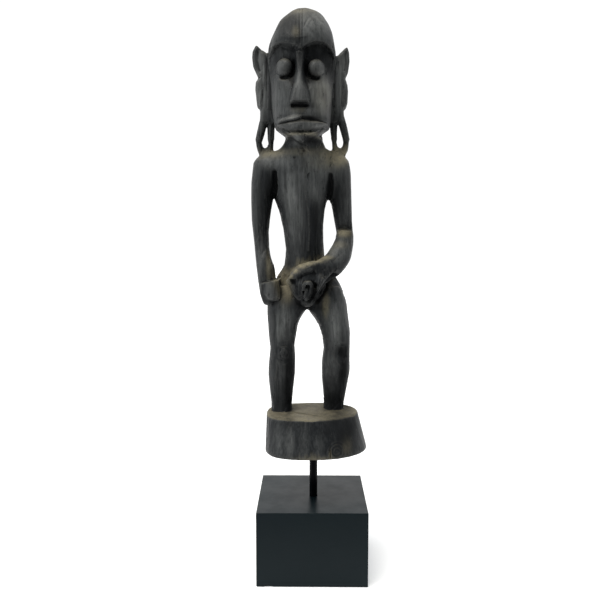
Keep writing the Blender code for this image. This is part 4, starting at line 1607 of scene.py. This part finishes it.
def wood_material():
    made, tree, shader = new_material("stained_wood", (*STAIN, 1.0), 0.5)
    shader.inputs["IOR"].default_value = WOOD_IOR
    link = tree.links.new
    streaks, bands, fibres = noise(tree, *STREAKS), noise(tree, *BANDS), noise(tree, *FIBRES)
    patches, flecks, grit = noise(tree, *PATCHES), noise(tree, *FLECKS), noise(tree, *GRIT)
    hollow, corner = mask(tree, "hollow"), mask(tree, "corner")
    # The bloom mask also paints light, and the black mask is painted shade.
    bloom, brown, black = mask(tree, "bloom"), mask(tree, "brown"), mask(tree, "black")
    surface = node(tree, "ShaderNodeNewGeometry")
    axes = node(tree, "ShaderNodeSeparateXYZ")
    link(surface.outputs["Normal"], axes.inputs["Vector"])
    level = spread(tree, axes.outputs["Z"], 0.30, 0.92)

    def times(first, second):
        return sums(tree, "MULTIPLY", first, second)

    def most(first, second):
        return sums(tree, "MAXIMUM", first, second)

    grain = times(spread(tree, streaks, 0.40, 0.60), spread(tree, bands, 0.35, 0.62, 0.35, 1.0))
    tone = blend_colour(tree, grain, STAIN, STAIN_LIGHT)
    # Grey bloom, which also paints light on lit places.
    bloom_and_light_film = times(bloom, spread(tree, patches, 0.34, 0.60, 0.50, 1.0))
    bloom_and_light_film = times(bloom_and_light_film, spread(tree, bands, 0.36, 0.60, 0.72, 1.0))
    bloom_and_light_film = times(bloom_and_light_film, spread(tree, streaks, 0.38, 0.58, 0.76, 1.0))
    tone = blend_colour(tree, bloom_and_light_film, tone, BLOOM_AND_LIGHT_TONE)
    worn = times(spread(tree, hollow, 0.44, 0.10), spread(tree, grit, 0.3, 0.6, 0.15, 0.5))
    rubbed = times(spread(tree, flecks, 0.60, 0.66), spread(tree, patches, 0.42, 0.62, 0.0, 0.3))
    worn = most(worn, rubbed)
    tone = blend_colour(tree, worn, tone, STAIN_WORN)
    carried = sums(tree, "ADD", times(brown, 0.8), 0.2)
    lying = times(level, spread(tree, patches, 0.28, 0.58, 0.45, 0.90))
    lying = times(lying, carried)
    dusty = most(lying, times(brown, spread(tree, patches, 0.3, 0.6, 0.68, 1.0)))
    dusty = times(dusty, spread(tree, grit, 0.25, 0.6, 0.70, 1.0))
    dusty = times(dusty, spread(tree, flecks, 0.30, 0.55, 0.70, 1.0))
    tone = blend_colour(tree, dusty, tone, DUST)
    # Darker in hollows and corners: pooled stain, and painted shade as well.
    painted_corner_shade = spread(tree, corner, 0.60, 0.92, 0.0, 0.85)
    pooled_stain_and_shade = most(spread(tree, hollow, 0.60, 0.95, 0.0, 0.7), painted_corner_shade)
    pooled_stain_and_shade = most(pooled_stain_and_shade, spread(tree, flecks, 0.42, 0.34, 0.0, 0.35))
    pooled_stain_and_shade = times(pooled_stain_and_shade, spread(tree, level, 0.2, 0.9, 1.0, 0.35))
    # The black patches: painted shade.
    pooled_stain_and_shade = most(pooled_stain_and_shade, times(black, spread(tree, patches, 0.42, 0.62, 1.0, 0.78)))
    tone = blend_colour(tree, pooled_stain_and_shade, tone, POOLED_STAIN_AND_SHADE)
    link(tone, shader.inputs["Base Color"])
    gloss = sums(tree, "ADD", spread(tree, streaks, 0.3, 0.7, 0.36, 0.56), times(dusty, 0.35))
    gloss = sums(tree, "SUBTRACT", gloss, times(worn, 0.08))
    gloss = sums(tree, "ADD", gloss, times(pooled_stain_and_shade, 0.42))
    link(gloss, shader.inputs["Roughness"])
    shape = bump(tree, streaks, 0.00030, 0.5)
    shape = bump(tree, flecks, 0.00020, 0.25, shape)
    shape = bump(tree, fibres, 0.00015, 0.5, shape)
    shape = bump(tree, grit, 0.00010, 0.3, shape)
    link(shape, shader.inputs["Normal"])
    return made


wood = wood_material()
figure.data.materials.clear()
figure.data.materials.append(wood)
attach(figure, "root")
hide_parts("figure")
print("wood nodes:", len(wood.node_tree.nodes))

# %% [markdown]
# ## Block
#
# The block is plain joinery: flat faces, edges eased with a plane, and a satin black coat that
# shows a faint ripple. A small chip is gone from the lower edge at the left. The bevel gets
# several segments and weighted normals, so that the faces stay flat up to the edge.

# %% Block
BLOCK_EDGE = 0.0009
BLOCK_EDGE_SEGMENTS = 4
BORE_RADIUS = 0.00455
BORE_DEPTH = 0.0303
BORE_SIDES = 64
BLOCK_SHARP = math.radians(40)
CHIP_PLACE = (-0.0445, -0.0572, 0.0)
CHIP_SIZE = (0.0056, 0.0020, 0.0015)
SATIN_BLACK = (0.0027, 0.0078, 0.0102)
SATIN_ROUGHNESS = 0.34
SATIN_RIPPLE = 0.25
SATIN_IOR = 1.25
CLOUD = ((1.0, 1.0, 1.0), 38.0, 4.0, 0.6)
PEEL = ((1.0, 1.0, 1.0), 950.0, 2.0, 0.5)
SPECKS = ((1.0, 1.0, 1.0), 2600.0, 1.0, 0.5)


def mesh_from(bm, name):
    bmesh.ops.recalc_face_normals(bm, faces=bm.faces)
    mesh = bpy.data.meshes.new(name)
    bm.to_mesh(mesh)
    bm.free()
    return mesh


def cut_away(thing, cutter_mesh, name):
    cutter = link_object(name, cutter_mesh)
    step = thing.modifiers.new(name, "BOOLEAN")
    step.operation = "DIFFERENCE"
    step.object = cutter
    settle(thing)
    bpy.data.objects.remove(cutter)


def make_block():
    low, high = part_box("plinth")
    bm = bmesh.new()
    size = Matrix.Diagonal((*(high - low), 1.0))
    bmesh.ops.create_cube(bm, size=1.0, matrix=Matrix.Translation((low + high) / 2) @ size)
    bmesh.ops.bevel(
        bm, geom=bm.edges[:], offset=BLOCK_EDGE, segments=BLOCK_EDGE_SEGMENTS, profile=0.5, affect="EDGES"
    )
    block = link_object("block", mesh_from(bm, "block"))
    bm = bmesh.new()
    middle = Matrix.Translation((ROD_AXIS.x, ROD_AXIS.y, high.z))
    bmesh.ops.create_cone(
        bm,
        cap_ends=True,
        segments=BORE_SIDES,
        radius1=BORE_RADIUS,
        radius2=BORE_RADIUS,
        depth=2 * BORE_DEPTH,
        matrix=middle,
    )
    cut_away(block, mesh_from(bm, "bore"), "bore")
    bm = bmesh.new()
    place = Matrix.Translation(CHIP_PLACE) @ Matrix.Diagonal((*CHIP_SIZE, 1.0))
    bmesh.ops.create_icosphere(bm, subdivisions=3, radius=1.0, matrix=place)
    cut_away(block, mesh_from(bm, "chip"), "chip")
    block.data.shade_smooth()
    block.data.set_sharp_from_angle(angle=BLOCK_SHARP)
    block.modifiers.new("flat faces", "WEIGHTED_NORMAL").keep_sharp = True
    settle(block)
    return block


def paint_material(name, base, roughness, ripple, ior):
    made, tree, shader = new_material(name, (*base, 1.0), roughness)
    shader.inputs["IOR"].default_value = ior
    link = tree.links.new
    cloud, peel, specks = noise(tree, *CLOUD), noise(tree, *PEEL), noise(tree, *SPECKS)
    lighter = tuple(2.2 * value + 0.01 for value in base)
    tone = blend_colour(tree, spread(tree, specks, 0.70, 0.80, 0.0, 0.5), base, lighter)
    link(tone, shader.inputs["Base Color"])
    dull = spread(tree, cloud, 0.3, 0.7, roughness - 0.05, roughness + 0.06)
    link(dull, shader.inputs["Roughness"])
    link(bump(tree, peel, 0.0001, ripple), shader.inputs["Normal"])
    return made


block = make_block()
block.data.materials.clear()
block.data.materials.append(
    paint_material("satin_black", SATIN_BLACK, SATIN_ROUGHNESS, SATIN_RIPPLE, SATIN_IOR)
)
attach(block, "root")
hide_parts("plinth")
print("block:", len(block.data.polygons), "faces")

# %% [markdown]
# ## Rod
#
# The rod is a plain metal bar in gloss black. It is spun from its outline: up the side, with
# a small chamfer at each end, so that it reads as round at any distance.

# %% Rod
ROD_SIDES = 64
ROD_SHARP = math.radians(30)
ROD_CHAMFER = 0.0006
GLOSS_BLACK = (0.0012, 0.0018, 0.0028)
GLOSS_ROUGHNESS = 0.16
GLOSS_RIPPLE = 0.12
GLOSS_IOR = 1.15


def make_rod():
    low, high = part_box("rod")
    radius = (high.x - low.x) / 2
    outline = [
        (0.0, low.z),
        (radius - ROD_CHAMFER, low.z),
        (radius, low.z + ROD_CHAMFER),
        (radius, high.z - ROD_CHAMFER),
        (radius - ROD_CHAMFER, high.z),
        (0.0, high.z),
    ]
    bm = bmesh.new()
    line = [bm.verts.new((ROD_AXIS.x + r, ROD_AXIS.y, z)) for r, z in outline]
    edges = [bm.edges.new(pair) for pair in zip(line, line[1:])]
    bmesh.ops.spin(
        bm,
        geom=line + edges,
        cent=ROD_AXIS,
        axis=(0, 0, 1),
        angle=2 * math.pi,
        steps=ROD_SIDES,
        use_merge=True,
    )
    bmesh.ops.remove_doubles(bm, verts=bm.verts, dist=1e-6)
    rod = link_object("rod_bar", mesh_from(bm, "rod_bar"))
    rod.data.shade_smooth()
    rod.data.set_sharp_from_angle(angle=ROD_SHARP)
    return rod


rod = make_rod()
rod.data.materials.clear()
rod.data.materials.append(
    paint_material("gloss_black", GLOSS_BLACK, GLOSS_ROUGHNESS, GLOSS_RIPPLE, GLOSS_IOR)
)
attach(rod, "root")
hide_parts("rod")
print("rod:", len(rod.data.polygons), "faces")
